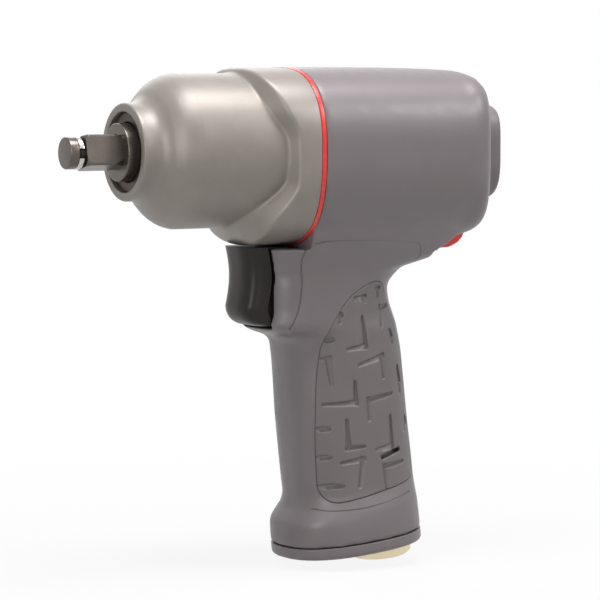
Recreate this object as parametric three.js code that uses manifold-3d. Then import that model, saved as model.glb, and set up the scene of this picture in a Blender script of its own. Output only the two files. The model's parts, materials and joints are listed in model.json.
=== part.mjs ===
// Air impact wrench with a 3/8 in square drive: hammer case, vane motor, twin hammer clutch and pistol
// grip. Millimetres. +X points out of the drive, +Y to the tool's left side and +Z up. The origin is
// the middle of the anvil's front face, so the whole tool lies at negative X. The handle has a frame of
// its own: its origin is under the motor, its +Z runs up the leaning handle and its +X points forward.
import * as THREE from 'three';
import { mergeVertices } from 'three/addons/utils/BufferGeometryUtils.js';
import Module from 'manifold-3d';

const wasm = await Module();
wasm.setup();

// Fits and clearances
const seatGap = 0.05;
const runGap = 0.15;
const looseGap = 0.3;
const strokeGap = 0.7;
const overrun = 3;

// Drive end of the anvil, front to back
const tip = { radius: 4.9, chamfer: 0.4, length: 2.9 };
const ringGroove = { length: 2.4, root: 2.9 };
const square = { side: 9.53, cornerRadius: 6.45, chamfer: 0.9, length: 9.9, turnDeg: 13.4 };
const neck = { radius: 5.6, length: 2 };
const collar = { radius: 8.85, chamfer: 0.4, proud: 2.35 };

// Anvil inside the clutch
const spigot = { radius: 4.8, length: 1.6 };

// Ring and cushion that hold a socket
const socketRing = { inner: 3.95, outer: 5, length: 1.7, gapDeg: 36 };
const cushionRing = { inner: 3, outer: 3.85 };

// Hammer case
const section = { side: 27.7, upShare: 0.92, downShare: 1.061, exponent: 2.6 };
const caseShell = { length: 53.85, noseRadius: 15, noseRim: 0.9, noseLand: 1.85, flangeStep: 3.9, wall: 3 };
const shoulderLength = 13.4;
const noseBoreRadius = 12.3;
const frontWall = 17.65;
const cavityEase = 1.8;
const bushing = { length: 15.8, setBack: 1.3, bore: 9, chamfer: 0.5 };

// Housing barrel
const gasketThickness = 1.5;
const housing = { length: 63.6, proud: 0.25, sideWall: 6.7, rearWall: 3.6 };
const boss = {
  halfWidth: 13.3, halfHeight: 15.3, drop: 1.5, topExponent: 4, footExponent: 3.1, length: 9.2, edge: 1.8,
  flangeLength: 2.8,
};
const bossRecess = { length: 8, wall: 4.2 };
const rearGasketThickness = 1;

// Long screws through the housing into the hammer case
const screw = { radius: 1.8, headRadius: 2.9, headLength: 3.2, reach: 11, socketAcross: 3, socketDepth: 2 };
const screwPocket = { radius: 3.4, depth: 9 };
const screwPlace = { sideShare: 0.565, upShare: 0.702, downShare: 0.64 };

// Vane motor
const endPlate = { frontLength: 7.5, rearLength: 8, lip: 1.4, caseReach: 5.5 };
const cylinder = { wall: 3, eccentric: 1.4 };
const rotorBody = { slotDepth: 6.8, slotWidth: 1.9, endGap: 0.2 };
const vane = { count: 7, thickness: 1.6, height: 6.4 };
const exhaustSlot = { lengthShare: 0.14, width: 14, pitchShare: 0.236, count: 3 };
const dowel = { radius: 1, length: 9, edge: 1.8 };
const frontBearingFit = { innerShare: 0.29, outerShare: 0.58, ballShare: 0.075, width: 6, balls: 8 };
const rearBearingFit = { innerShare: 0.193, outerShare: 0.531, ballShare: 0.092, width: 7, balls: 7 };
const raceShare = 0.3;

// Twin hammer clutch
const frame = {
  sideGap: 1.2, frontPlate: 3.8, rearPlate: 5.6, endGap: 1.85, strut: 2.2, strutHalfDeg: 28, hammerGap: 0.5,
};
const hammerSideGap = 0.4;
const catchHalfDeg = 60;
const clutchPinHold = 3.4;
const swingDeg = 6;
const spline = { teeth: 8, shaftMinor: 4.9, shaftMajor: 5.8, holeMinor: 5.1, holeMajor: 6, length: 3.8 };

// Trigger
const trigger = {
  ahead: 17.9, length: 17, topZ: 29.8, bottomZ: 54.3, halfWidth: 9.3, sideStep: 0.8, padLength: 7.5,
};
const triggerScoop = 1;
const triggerCorner = 6;
const triggerHeel = 6;
const triggerTravel = 5;
const rod = { radius: 1.6, stemGap: 0.5 };
const rodBushing = { radius: 3.2, length: 7, flange: 4.6, flangeLength: 1 };

// Handle frame and outline
const handleAt = { behind: 15.3, z: -30 };
const handleLeanDeg = 6;
const handle = { depth: 92.4, halfLength: 20.8, halfThickness: 18, webEnd: 0.9, exponent: 2.4 };
const gripPanelDepth = 1.7;

// Air passages in the handle
const inletOffset = -9.7;
const chamber = { top: 8.5, bottom: 54, radius: 8.5, neckRadius: 7.6, neckBottom: 33.2 };
const inletPassage = { radius: 7.2 };
const supply = { radius: 3.2, behind: 13.3, lowZ: -38, highZ: -20 };
const exhaustPassage = { front: 17, rear: 2, halfWidth: 11, top: 22, corner: 3 };
const exhaustPort = { radius: 3.4, side: 10, ahead: 2.2, top: 15, bottom: 56 };

// Throttle valve
const seat = { length: 2.5, bore: 4.6 };
const valve = { radius: 6.4, thickness: 2, stemRadius: 1.5, stemTop: 10 };
const valveSpring = { wire: 0.45, topRadius: 4, bottomRadius: 7.6, turns: 5, sides: 5, steps: 8 };

// Air inlet and exhaust foot
const inletBushing = { across: 17, hexLength: 4.8, hexChamfer: 1, shank: 8, shankLength: 17.5, thread: 5.6 };
const inletThread = { depth: 12, throat: 4.3 };
const inletSeal = { ring: 9, cord: 0.6, recess: 10.3, depth: 1.6 };
const screen = { radius: 6.4, length: 12, wall: 0.7 };
const foot = {
  thickness: 3.8, edge: 1.5, slotWidth: 2.6, slotLength: 18, slots: 3, slotPitch: 4.5, rimHeight: 2,
};
const silencer = { length: 12, bore: 2 };

// Reversing valve
const reverseValve = { rim: 3.5, length: 4.4, port: 2.6, ports: 4, portPlaceShare: 0.714, hub: 5 };
const lever = { stemWidth: 6, reach: 32.2, headInner: 25.6, headHalfDeg: 8, headLength: 19.6 };
const leverSwingDeg = 12;
const leverSlackDeg = 3;
const detent = { ball: 1.4, edge: 2.1, tube: 3.1, tubeLength: 2.6, springRadius: 1, wire: 0.25, turns: 3 };
const clampWasher = { width: 3.5, length: 6.3, thickness: 1 };

// Shares: the shape of each outline, as parts of the sizes above
const shoulderShare = [
  [0, 0], [0.1, 0.02], [0.2, 0.09], [0.3, 0.22], [0.44, 0.49], [0.64, 0.77], [0.85, 0.94], [1, 1],
];
// Edges of the case's bevel: height as a share of the barrel's radius, then reach ahead of the case's
// rear as a share of its length
const bevelInnerShare = [
  [-1, 0.4], [-0.88, 0.372], [-0.71, 0.305], [-0.46, 0.199], [-0.35, 0.175], [-0.13, 0.176], [0.16, 0.182],
  [0.27, 0.199], [0.5, 0.266], [0.68, 0.299], [0.87, 0.312], [1, 0.316],
];
const bevelOuterShare = [
  [-1.24, 0.262], [-1.08, 0.278], [-0.84, 0.24], [-0.61, 0.178], [-0.48, 0.145], [-0.35, 0.136],
  [0.16, 0.137], [0.29, 0.149], [0.51, 0.195], [0.79, 0.24], [1.09, 0.3],
];
// Each row: along the barrel, then width, height and squareness of its outline
const barrelShare = [
  [0, 1, 1, 1], [0.48, 0.99, 0.99, 1], [0.84, 0.975, 0.966, 1.05], [0.9, 0.953, 0.955, 1.2],
  [0.94, 0.915, 0.925, 1.3], [0.97, 0.84, 0.897, 1.4], [0.99, 0.765, 0.87, 1.5], [1, 0.71, 0.82, 1.6],
];
// Radii of the clutch, as shares of the hammers' reach
const clutch = {
  sideShare: 0.9, boreShare: 0.565, catchShare: 0.67, jawShare: 0.494, jawWidthShare: 0.306,
  shaftShare: 0.382, pinShare: 0.162, pinPlaceShare: 0.87,
};
// Each row: down the handle, then front, rear, thickness and squareness of the front half
const handleShare = [
  [-0.086, 1.2, 2.23, 1.28, 1.25], [-0.043, 1.25, 2.27, 1.24, 1.25], [-0.011, 1.26, 2.28, 1.18, 1.25],
  [0.021, 1.26, 2.28, 1.11, 1.25], [0.054, 1.27, 2.25, 1.055, 1.25], [0.068, 1.27, 2.14, 1.035, 1.25],
  [0.077, 1.27, 1.87, 1.02, 1.25], [0.087, 1.28, 1.56, 1.005, 1.25], [0.094, 1.28, 1.26, 1, 1.25],
  [0.102, 1.28, 1.12, 0.995, 1.25], [0.114, 1.29, 1.055, 0.99, 1.25], [0.135, 1.3, 0.925, 0.985, 1.25],
  [0.164, 1.31, 0.85, 0.98, 1.25], [0.199, 1.335, 0.855, 0.98, 1.25], [0.231, 1.4, 0.88, 0.98, 1.25],
  [0.245, 1.35, 0.9, 0.98, 1.25], [0.26, 1.25, 0.91, 0.985, 1.2], [0.279, 1.065, 0.928, 0.99, 1.1],
  [0.306, 0.955, 0.94, 0.995, 1.05], [0.387, 0.96, 0.975, 1, 1], [0.59, 0.99, 0.98, 1, 1],
  [0.795, 0.985, 1, 1, 1], [0.829, 0.975, 1, 1.01, 1], [0.866, 1.02, 1.005, 1.06, 1],
  [0.891, 1.12, 1.015, 1.1, 1], [0.924, 1.225, 1.02, 1.125, 1], [1, 1.24, 1.025, 1.135, 1],
];
// Each point: forward as a share of the handle's half length, down as a share of its depth
const panelShare = [
  [-0.3, 0.128], [0.04, 0.153], [0.32, 0.204], [0.59, 0.294], [0.69, 0.379], [0.755, 0.496], [0.805, 0.634],
  [0.82, 0.75], [0.81, 0.812], [0.66, 0.851], [0.27, 0.846], [-0.15, 0.835], [-0.62, 0.821], [-0.8, 0.8],
  [-0.82, 0.75], [-0.83, 0.62], [-0.82, 0.435], [-0.72, 0.306], [-0.62, 0.2], [-0.5, 0.141],
];

// Facet counts
const roundSegments = 20;
const smallSegments = 10;
const outlineSegments = 36;
const handleSegments = 28;
const arcSteps = 6;
const hexSides = 6;
const cordSides = 6;
const cordSegments = 16;

// Stations along the tool's axis, all at negative X
const driveLength = tip.length + ringGroove.length + square.length + neck.length;
const noseX = -(driveLength + collar.proud);
const caseRearX = noseX - caseShell.length;
const housingFrontX = caseRearX - gasketThickness;
const housingRearX = housingFrontX - housing.length;
const bossRearX = housingRearX - boss.length;
const bushingFrontX = noseX - bushing.setBack;
const bushingRearX = bushingFrontX - bushing.length;
const cavityFrontX = noseX - frontWall;
const frontPlateX = housingFrontX + endPlate.caseReach;
const frontPlateRearX = frontPlateX - endPlate.frontLength;
const rearWallX = housingRearX + housing.rearWall;
const gasketFrontX = rearWallX + seatGap + rearGasketThickness;
const coverRearX = gasketFrontX + seatGap;
const coverFrontX = coverRearX + boss.flangeLength;
const reverseRearX = coverFrontX + clampWasher.length;
const reverseFrontX = reverseRearX + reverseValve.length;
const rearPlateRearX = reverseFrontX + looseGap;
const rearPlateX = rearPlateRearX + endPlate.rearLength;
const cylinderFrontX = frontPlateRearX - seatGap;
const cylinderRearX = rearPlateX + seatGap;
const cylinderLength = cylinderFrontX - cylinderRearX;
const framePlateX = cavityFrontX - cavityEase - seatGap;
const frameEndX = frontPlateX + frame.endGap;
const frameRearX = frameEndX + frame.rearPlate;
const hammerSpace = framePlateX - frame.frontPlate - frameRearX;
const hammerLength = (hammerSpace - 3 * frame.hammerGap) / 2;
const frontHammerX = framePlateX - frame.frontPlate - frame.hammerGap;
const rearHammerX = frontHammerX - hammerLength - frame.hammerGap;
const triggerFrontX = housingFrontX + trigger.ahead;
const triggerRearX = triggerFrontX - trigger.length;
const handleX = housingFrontX - handleAt.behind;

// Radii, from the outline inwards
const sectionUp = section.side * section.upShare;
const sectionDown = section.side * section.downShare;
const barrelRadius = section.side - caseShell.flangeStep;
const cavityRadius = barrelRadius - caseShell.wall;
const frameRadius = cavityRadius - frame.sideGap;
const strutInner = frameRadius - frame.strut;
const hammerReach = strutInner - hammerSideGap;
const hammerBore = hammerReach * clutch.boreShare;
const clutchPin = { radius: hammerReach * clutch.pinShare, place: hammerReach * clutch.pinPlaceShare };
const jawRadius = hammerReach * clutch.jawShare;
const jawWidth = hammerReach * clutch.jawWidthShare;
const housingBore = section.side - housing.sideWall;
const motorRadius = housingBore - looseGap;
const cylinderBore = motorRadius - cylinder.wall - cylinder.eccentric;
const rotorRadius = cylinderBore - cylinder.eccentric - looseGap;
const dowelPlace = motorRadius - dowel.edge;
const reverseRadius = housingBore - reverseValve.rim;
const detentPlace = reverseRadius - detent.edge;
const washerOuter = detentPlace - detent.tube - looseGap;

const degrees = Math.PI / 180;
const fullTurn = 2 * Math.PI;
const handleLean = handleLeanDeg * degrees;
const handleMatrix = new THREE.Matrix4()
  .makeTranslation(handleX, 0, handleAt.z)
  .multiply(new THREE.Matrix4().makeRotationY(handleLean));

// Closed geometry to solid, with its faces turned outwards
function solid(geometry, matrix) {
  const bare = geometry.clone();
  bare.deleteAttribute('normal');
  bare.deleteAttribute('uv');
  if (matrix) bare.applyMatrix4(matrix);
  const merged = mergeVertices(bare);
  const position = merged.attributes.position.array;
  const index = merged.index.array;
  const faces = [];
  let volume = 0;
  for (let i = 0; i < index.length; i += 3) {
    const [a, b, c] = [index[i], index[i + 1], index[i + 2]];
    if (a === b || b === c || c === a) continue;
    faces.push([a, b, c]);
    const [p, q, r] = [a, b, c].map((v) => new THREE.Vector3().fromArray(position, 3 * v));
    volume += p.dot(q.cross(r));
  }
  const outward = faces.map((face) => (volume < 0 ? [face[0], face[2], face[1]] : face));
  return new wasm.Manifold(new wasm.Mesh({
    numProp: 3,
    vertProperties: new Float32Array(position),
    triVerts: new Uint32Array(outward.flat()),
  }));
}

function toGeometry(body) {
  const mesh = body.getMesh();
  const geometry = new THREE.BufferGeometry();
  geometry.setAttribute('position', new THREE.BufferAttribute(mesh.vertProperties, 3));
  geometry.setIndex(new THREE.BufferAttribute(mesh.triVerts, 1));
  geometry.computeVertexNormals();
  return geometry;
}

// A profile of [along, radius] points turned round the X axis
function turned(profile, segments = roundSegments) {
  const points = profile.map(([along, radius]) => new THREE.Vector2(radius, along));
  const hollow = profile[0][1] > 0 && profile.at(-1)[1] > 0;
  if (hollow) points.push(points[0].clone());
  return new THREE.LatheGeometry(points, segments).rotateZ(-Math.PI / 2);
}

function turnedSolid(profile, segments) {
  return solid(turned(profile, segments));
}

// A profile of [height, radius] points turned round an upright line at x
function uprightSolid(profile, x, matrix, segments = smallSegments) {
  const geometry = turned(profile, segments).rotateY(-Math.PI / 2);
  return solid(geometry.translate(x, 0, 0), matrix);
}

function cylinderProfile(fromX, toX, radius) {
  return [[fromX, 0], [fromX, radius], [toX, radius], [toX, 0]];
}

function tubeProfile(fromX, toX, inner, outer) {
  return [[fromX, inner], [fromX, outer], [toX, outer], [toX, inner]];
}

// Shapes drawn in two axes and extruded along the third
function extruded(shape, length, segments = smallSegments) {
  return new THREE.ExtrudeGeometry(shape, {
    depth: length, bevelEnabled: false, curveSegments: segments / 2,
  });
}

const axisX = new THREE.Vector3(1, 0, 0);
const axisY = new THREE.Vector3(0, 1, 0);
const axisZ = new THREE.Vector3(0, 0, 1);
const alongXBasis = new THREE.Matrix4().makeBasis(axisY, axisZ, axisX);
const alongYBasis = new THREE.Matrix4().makeBasis(axisX, axisZ, axisY.clone().negate());

function alongX(shape, fromX, toX, segments) {
  const low = Math.min(fromX, toX);
  const geometry = extruded(shape, Math.abs(toX - fromX), segments).translate(0, 0, low);
  return geometry.applyMatrix4(alongXBasis);
}

function alongY(shape, fromY, toY, segments) {
  const high = Math.max(fromY, toY);
  const geometry = extruded(shape, Math.abs(toY - fromY), segments).translate(0, 0, -high);
  return geometry.applyMatrix4(alongYBasis);
}

function alongZ(shape, fromZ, toZ, segments) {
  return extruded(shape, Math.abs(toZ - fromZ), segments).translate(0, 0, Math.min(fromZ, toZ));
}

function disc(x, y, radius) {
  const shape = new THREE.Shape();
  shape.absarc(x, y, radius, 0, fullTurn);
  return shape;
}

function polygon(points) {
  return new THREE.Shape(points.map(([x, y]) => new THREE.Vector2(x, y)));
}

function rectangle(lowX, lowY, highX, highY) {
  return polygon([[lowX, lowY], [highX, lowY], [highX, highY], [lowX, highY]]);
}

function roundedRectangle(lowX, lowY, highX, highY, radius) {
  const shape = new THREE.Shape();
  shape.absarc(highX - radius, highY - radius, radius, 0, Math.PI / 2);
  shape.absarc(lowX + radius, highY - radius, radius, Math.PI / 2, Math.PI);
  shape.absarc(lowX + radius, lowY + radius, radius, Math.PI, Math.PI * 1.5);
  shape.absarc(highX - radius, lowY + radius, radius, Math.PI * 1.5, fullTurn);
  return shape;
}

// A ring segment between two radii, around the origin
function arcSegment(inner, outer, fromAngle, toAngle, steps = arcSteps) {
  const points = [];
  for (let i = 0; i <= steps; i += 1) {
    const angle = fromAngle + (toAngle - fromAngle) * (i / steps);
    points.push([outer * Math.cos(angle), outer * Math.sin(angle)]);
  }
  for (let i = steps; i >= 0; i -= 1) {
    const angle = fromAngle + (toAngle - fromAngle) * (i / steps);
    points.push([inner * Math.cos(angle), inner * Math.sin(angle)]);
  }
  return polygon(points);
}

// Skin over a row of rings with equal counts, closed at both ends
function loft(rings) {
  const count = rings[0].length;
  const positions = rings.flat().flatMap((point) => [point.x, point.y, point.z]);
  const index = [];
  for (let i = 0; i + 1 < rings.length; i += 1) {
    for (let k = 0; k < count; k += 1) {
      const a = i * count + k;
      const b = i * count + ((k + 1) % count);
      index.push(a, b, a + count, b, b + count, a + count);
    }
  }
  const addCap = (start, turn) => {
    const ring = positions.slice(3 * start, 3 * (start + count));
    const middle = [0, 1, 2].map((axis) => {
      const values = ring.filter((value, place) => place % 3 === axis);
      return values.reduce((sum, value) => sum + value, 0) / count;
    });
    const centre = positions.length / 3;
    positions.push(...middle);
    for (let k = 0; k < count; k += 1) {
      const a = start + k;
      const b = start + ((k + 1) % count);
      index.push(...(turn ? [centre, b, a] : [centre, a, b]));
    }
  };
  addCap(0, true);
  addCap((rings.length - 1) * count, false);
  const geometry = new THREE.BufferGeometry();
  geometry.setAttribute('position', new THREE.Float32BufferAttribute(positions, 3));
  geometry.setIndex(index);
  return geometry;
}

// Distance from the axis to the rounded outline that case, gasket and housing share
function sectionRadius(angle, growth = 0, sideShare = 1, heightShare = 1, squareShare = 1) {
  const side = (section.side + growth) * sideShare;
  const height = ((Math.sin(angle) > 0 ? sectionUp : sectionDown) + growth) * heightShare;
  const exponent = section.exponent * squareShare;
  const across = (Math.abs(Math.cos(angle)) / side) ** exponent;
  const upright = (Math.abs(Math.sin(angle)) / height) ** exponent;
  return (across + upright) ** (-1 / exponent);
}

function ringAngles(count = outlineSegments) {
  return Array.from({ length: count }, (unused, k) => (k * fullTurn) / count);
}

function sectionRing(x, growth = 0, shares = []) {
  return ringAngles().map((angle) => {
    const radius = sectionRadius(angle, growth, ...shares);
    return new THREE.Vector3(x, radius * Math.cos(angle), radius * Math.sin(angle));
  });
}

// A round spring: a tube along a helix whose radius runs from bottom to top
function coil(bottom, top, bottomRadius, topRadius, turns, wire) {
  class Helix extends THREE.Curve {
    getPoint(t, target = new THREE.Vector3()) {
      const radius = bottomRadius + (topRadius - bottomRadius) * t;
      const angle = t * turns * fullTurn;
      return target.set(radius * Math.cos(angle), radius * Math.sin(angle), bottom + (top - bottom) * t);
    }
  }
  const wireShape = new THREE.Shape();
  for (let i = 0; i < valveSpring.sides; i += 1) {
    const angle = (i * fullTurn) / valveSpring.sides;
    const [x, y] = [wire * Math.cos(angle), wire * Math.sin(angle)];
    if (i === 0) wireShape.moveTo(x, y);
    else wireShape.lineTo(x, y);
  }
  const steps = turns * valveSpring.steps;
  return new THREE.ExtrudeGeometry(wireShape, { steps, extrudePath: new Helix(), bevelEnabled: false });
}

// Finishes, from the photograph
const finish = (color, roughness, metalness) => new THREE.MeshStandardMaterial({
  color, roughness, metalness, flatShading: true,
});
const titaniumGrey = finish(0xa39c93, 0.45, 0.7);
const housingGrey = finish(0x6f686a, 0.6, 0);
const gripGrey = finish(0x6b6465, 0.8, 0);
const signalRed = finish(0xd63c36, 0.5, 0);
const triggerBlack = finish(0x332e2b, 0.6, 0);
const polishedSteel = finish(0xc4c1bd, 0.25, 1);
const toolSteel = finish(0x77736f, 0.4, 1);
const bronze = finish(0x5a4636, 0.5, 0.6);
const castAluminium = finish(0xa8a8a6, 0.5, 0.8);
const hexNickel = finish(0xd8c8a2, 0.35, 0.9);
const blackRubber = finish(0x1d1c1b, 0.9, 0);
const vaneResin = finish(0x7a5a34, 0.7, 0);
const feltGrey = finish(0x8b8b88, 0.95, 0);

const tool = new THREE.Group();
const handleGroup = new THREE.Group();
handleGroup.position.set(handleX, 0, handleAt.z);
handleGroup.rotation.y = handleLean;
tool.add(handleGroup);

function add(name, body, material, group = tool) {
  const mesh = new THREE.Mesh(toGeometry(body), material);
  mesh.name = name;
  group.add(mesh);
}

function union(bodies) {
  return bodies.reduce((sum, body) => sum.add(body));
}

function cut(body, cutters) {
  return cutters.reduce((rest, cutter) => rest.subtract(cutter), body);
}

// Screw places, shared by gasket, case and housing
const screwSide = section.side * screwPlace.sideShare;
const screwPlaces = [sectionUp * screwPlace.upShare, -sectionDown * screwPlace.downShare]
  .flatMap((height) => [[screwSide, height], [-screwSide, height]]);

function screwHoles(fromX, toX, radius) {
  return screwPlaces.map(([y, z]) => solid(alongX(disc(y, z, radius), fromX, toX)));
}

// Value of a table of [place, value] rows at a place between them
function shareAt(rows, place) {
  const next = rows.findIndex(([at]) => at >= place);
  if (next <= 0) return (next === 0 ? rows[0] : rows.at(-1))[1];
  const [[from, low], [to, high]] = [rows[next - 1], rows[next]];
  return low + ((high - low) * (place - from)) / (to - from);
}

// Hammer case: turned nose and barrel that grow into the flange, with a bevelled edge shaped like an
// arrow
function bevelEdge(rows, angle, radius) {
  const [y, z] = [radius * Math.cos(angle), radius * Math.sin(angle)];
  const share = shareAt(rows, z / barrelRadius);
  return new THREE.Vector3(caseRearX + share * caseShell.length, y, z);
}

function hammerCase() {
  const rings = [];
  const plain = (x, radius) => rings.push(ringAngles().map(
    (angle) => new THREE.Vector3(x, radius * Math.cos(angle), radius * Math.sin(angle))));
  const { noseRadius, noseRim, noseLand } = caseShell;
  const rimSteps = 3;
  for (let i = 0; i <= rimSteps; i += 1) {
    const angle = (i / rimSteps) * (Math.PI / 2);
    plain(noseX - noseRim * (1 - Math.cos(angle)), noseRadius - noseRim * (1 - Math.sin(angle)));
  }
  const shoulderX = noseX - noseRim - noseLand;
  shoulderShare.forEach(([along, out]) => {
    plain(shoulderX - along * shoulderLength, noseRadius + out * (barrelRadius - noseRadius));
  });
  rings.push(ringAngles().map((angle) => bevelEdge(bevelInnerShare, angle, barrelRadius)));
  rings.push(ringAngles().map((angle) => bevelEdge(bevelOuterShare, angle, sectionRadius(angle))));
  rings.push(sectionRing(caseRearX));
  const cavity = turnedSolid([
    [caseRearX - overrun, 0], [caseRearX - overrun, cavityRadius],
    [cavityFrontX - cavityEase, cavityRadius],
    [cavityFrontX, cavityRadius - cavityEase], [cavityFrontX, noseBoreRadius],
    [noseX - seatGap, noseBoreRadius], [noseX + overrun, noseBoreRadius + overrun], [noseX + overrun, 0],
  ]);
  return cut(solid(loft(rings)), [cavity, ...screwHoles(caseRearX - overrun, caseRearX + screw.reach,
    screw.radius)]);
}

add('hammer_case', hammerCase(), titaniumGrey);

add('anvil_bushing', turnedSolid([
  [bushingFrontX, bushing.bore + bushing.chamfer], [bushingFrontX, noseBoreRadius - seatGap],
  [bushingRearX, noseBoreRadius - seatGap], [bushingRearX, bushing.bore],
  [bushingFrontX - bushing.chamfer, bushing.bore],
]), bronze);

function trimGasket() {
  const outer = solid(loft([
    sectionRing(caseRearX - seatGap), sectionRing(housingFrontX + seatGap),
  ]));
  const bore = turnedSolid(cylinderProfile(caseRearX + overrun, housingFrontX - overrun, housingBore));
  return cut(outer, [bore, ...screwHoles(caseRearX + overrun, housingFrontX - overrun,
    screw.radius + looseGap)]);
}

add('trim_gasket', trimGasket(), signalRed);

// Anvil: drive square, collar, clutch shaft and two jaws
function squareShape() {
  const points = [];
  for (let i = 0; i < 4; i += 1) {
    const angle = (square.turnDeg + 90 * i) * degrees;
    const reach = square.side / Math.SQRT2;
    points.push([reach * Math.cos(angle), reach * Math.sin(angle)]);
  }
  return polygon(points);
}

const squareFrontX = -(tip.length + ringGroove.length);
const squareRearX = squareFrontX - square.length;
const collarX = -driveLength;

function anvil() {
  const shaftEndX = frontHammerX;
  const anvilEndX = frameRearX + looseGap;
  const shaftRadius = hammerReach * clutch.shaftShare;
  const core = turnedSolid([
    [0, 0], [0, tip.radius - tip.chamfer], [-tip.chamfer, tip.radius], [-tip.length, tip.radius],
    [-tip.length, ringGroove.root], [squareFrontX, ringGroove.root],
    [squareFrontX, square.side / 2 - tip.chamfer],
    [squareRearX, square.side / 2 - tip.chamfer], [collarX, neck.radius],
    [collarX, collar.radius - collar.chamfer],
    [collarX - collar.chamfer, collar.radius], [shaftEndX, collar.radius], [shaftEndX, shaftRadius],
    [anvilEndX, shaftRadius], [anvilEndX, spigot.radius],
    [anvilEndX - spigot.length, spigot.radius], [anvilEndX - spigot.length, 0],
  ]);
  const squareBlock = solid(alongX(squareShape(), squareFrontX, collarX - seatGap));
  const squareLimit = turnedSolid([
    [squareFrontX, 0], [squareFrontX, square.cornerRadius - square.chamfer],
    [squareFrontX - square.chamfer, square.cornerRadius], [squareRearX, square.cornerRadius],
    [collarX - seatGap, neck.radius], [collarX - seatGap, 0],
  ]);
  const jaws = [[frontHammerX, -1], [rearHammerX, 1]].map(([x, way]) => {
    const block = rectangle(-jawWidth / 2, 0, jawWidth / 2, way * jawRadius * 2);
    const round = turnedSolid(cylinderProfile(x, x - hammerLength, jawRadius));
    return solid(alongX(block, x, x - hammerLength)).intersect(round);
  });
  return union([core, squareBlock.intersect(squareLimit), ...jaws]);
}

add('anvil', anvil(), polishedSteel);

const ringFrontX = -tip.length - seatGap;
const socketRingShape = arcSegment(
  socketRing.inner, socketRing.outer, (socketRing.gapDeg / 2) * degrees,
  fullTurn - (socketRing.gapDeg / 2) * degrees, roundSegments);
add('socket_retainer', solid(alongX(socketRingShape, ringFrontX, ringFrontX - socketRing.length)),
  polishedSteel);

const cushionMiddleX = ringFrontX - socketRing.length / 2;
const cushionCord = (cushionRing.outer - cushionRing.inner) / 2;
add('retainer_cushion', solid(new THREE.TorusGeometry(
  (cushionRing.outer + cushionRing.inner) / 2, cushionCord, cordSides, cordSegments,
).rotateY(Math.PI / 2).translate(cushionMiddleX, 0, 0)), blackRubber);

// Twin hammer clutch
const catchMiddle = { front: -Math.PI / 2, rear: Math.PI / 2 };

function swingHammer(frontX, catchAngle) {
  const rearX = frontX - hammerLength;
  const outline = new THREE.Shape();
  outline.absellipse(0, 0, hammerReach * clutch.sideShare, hammerReach, 0, fullTurn);
  const ring = solid(alongX(outline, frontX, rearX, outlineSegments / 2));
  const bore = turnedSolid(cylinderProfile(frontX + overrun, rearX - overrun, hammerBore));
  const half = catchHalfDeg * degrees;
  const pocket = solid(alongX(
    arcSegment(hammerBore - overrun, hammerReach * clutch.catchShare, catchAngle - half, catchAngle + half),
    frontX + overrun, rearX - overrun));
  const up = Math.sin(catchAngle);
  const pivot = disc(0, -up * clutchPin.place, clutchPin.radius + runGap);
  const roam = 2 * clutchPin.place * Math.sin(swingDeg * degrees) + clutchPin.radius + looseGap;
  const slotInner = clutchPin.place - clutchPin.radius - looseGap;
  const slot = rectangle(-roam, up * slotInner, roam, up * (hammerReach + overrun));
  const cutters = [pivot, slot].map((shape) => solid(alongX(shape, frontX + overrun, rearX - overrun)));
  return cut(ring, [bore, pocket, ...cutters]);
}

add('front_hammer', swingHammer(frontHammerX, catchMiddle.front), toolSteel);
add('rear_hammer', swingHammer(rearHammerX, catchMiddle.rear), toolSteel);

function splineShape(minor, major) {
  const points = [];
  const toothShare = 0.25;
  for (let i = 0; i < spline.teeth; i += 1) {
    [
      [-0.5, minor], [-toothShare, minor], [-toothShare / 2, major], [toothShare / 2, major],
      [toothShare, minor],
    ].forEach(([step, radius]) => {
      const angle = ((i + step) * fullTurn) / spline.teeth;
      points.push([radius * Math.cos(angle), radius * Math.sin(angle)]);
    });
  }
  return polygon(points);
}

function hammerFrame() {
  const frontPlate = turnedSolid(tubeProfile(
    framePlateX, framePlateX - frame.frontPlate, collar.radius + looseGap, frameRadius));
  const rearPlate = solid(turned(cylinderProfile(frameRearX, frameEndX, frameRadius)));
  const half = frame.strutHalfDeg * degrees;
  const struts = [0, Math.PI].map((middle) => solid(alongX(
    arcSegment(strutInner, frameRadius, middle - half, middle + half), framePlateX, frameEndX)));
  const hole = solid(alongX(splineShape(spline.holeMinor, spline.holeMajor), frameRearX + overrun,
    frameEndX - overrun));
  const pinHoles = [1, -1].map((way) => solid(alongX(
    disc(0, way * clutchPin.place, clutchPin.radius + seatGap),
    framePlateX - frame.frontPlate + clutchPinHold,
    frameRearX - clutchPinHold)));
  return cut(union([frontPlate, rearPlate, ...struts]), [hole, ...pinHoles]);
}

add('hammer_frame', hammerFrame(), toolSteel);

const pinFrontX = framePlateX - frame.frontPlate + clutchPinHold - seatGap;
const pinRearX = frameRearX - clutchPinHold + seatGap;
[['upper', 1], ['lower', -1]].forEach(([name, way]) => {
  const pin = solid(alongX(disc(0, way * clutchPin.place, clutchPin.radius), pinFrontX, pinRearX));
  add(`${name}_hammer_pin`, pin, polishedSteel);
});

// Vane motor

// Bearing with its radii in millimetres
function bearingSize(fit) {
  return {
    ...fit, inner: motorRadius * fit.innerShare, outer: motorRadius * fit.outerShare,
    ball: motorRadius * fit.ballShare,
  };
}

const frontBearing = bearingSize(frontBearingFit);
const rearBearing = bearingSize(rearBearingFit);
const frontSeatX = frontPlateX - frontBearing.width - seatGap;
const rearSeatX = rearPlateRearX + rearBearing.width + seatGap;

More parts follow.
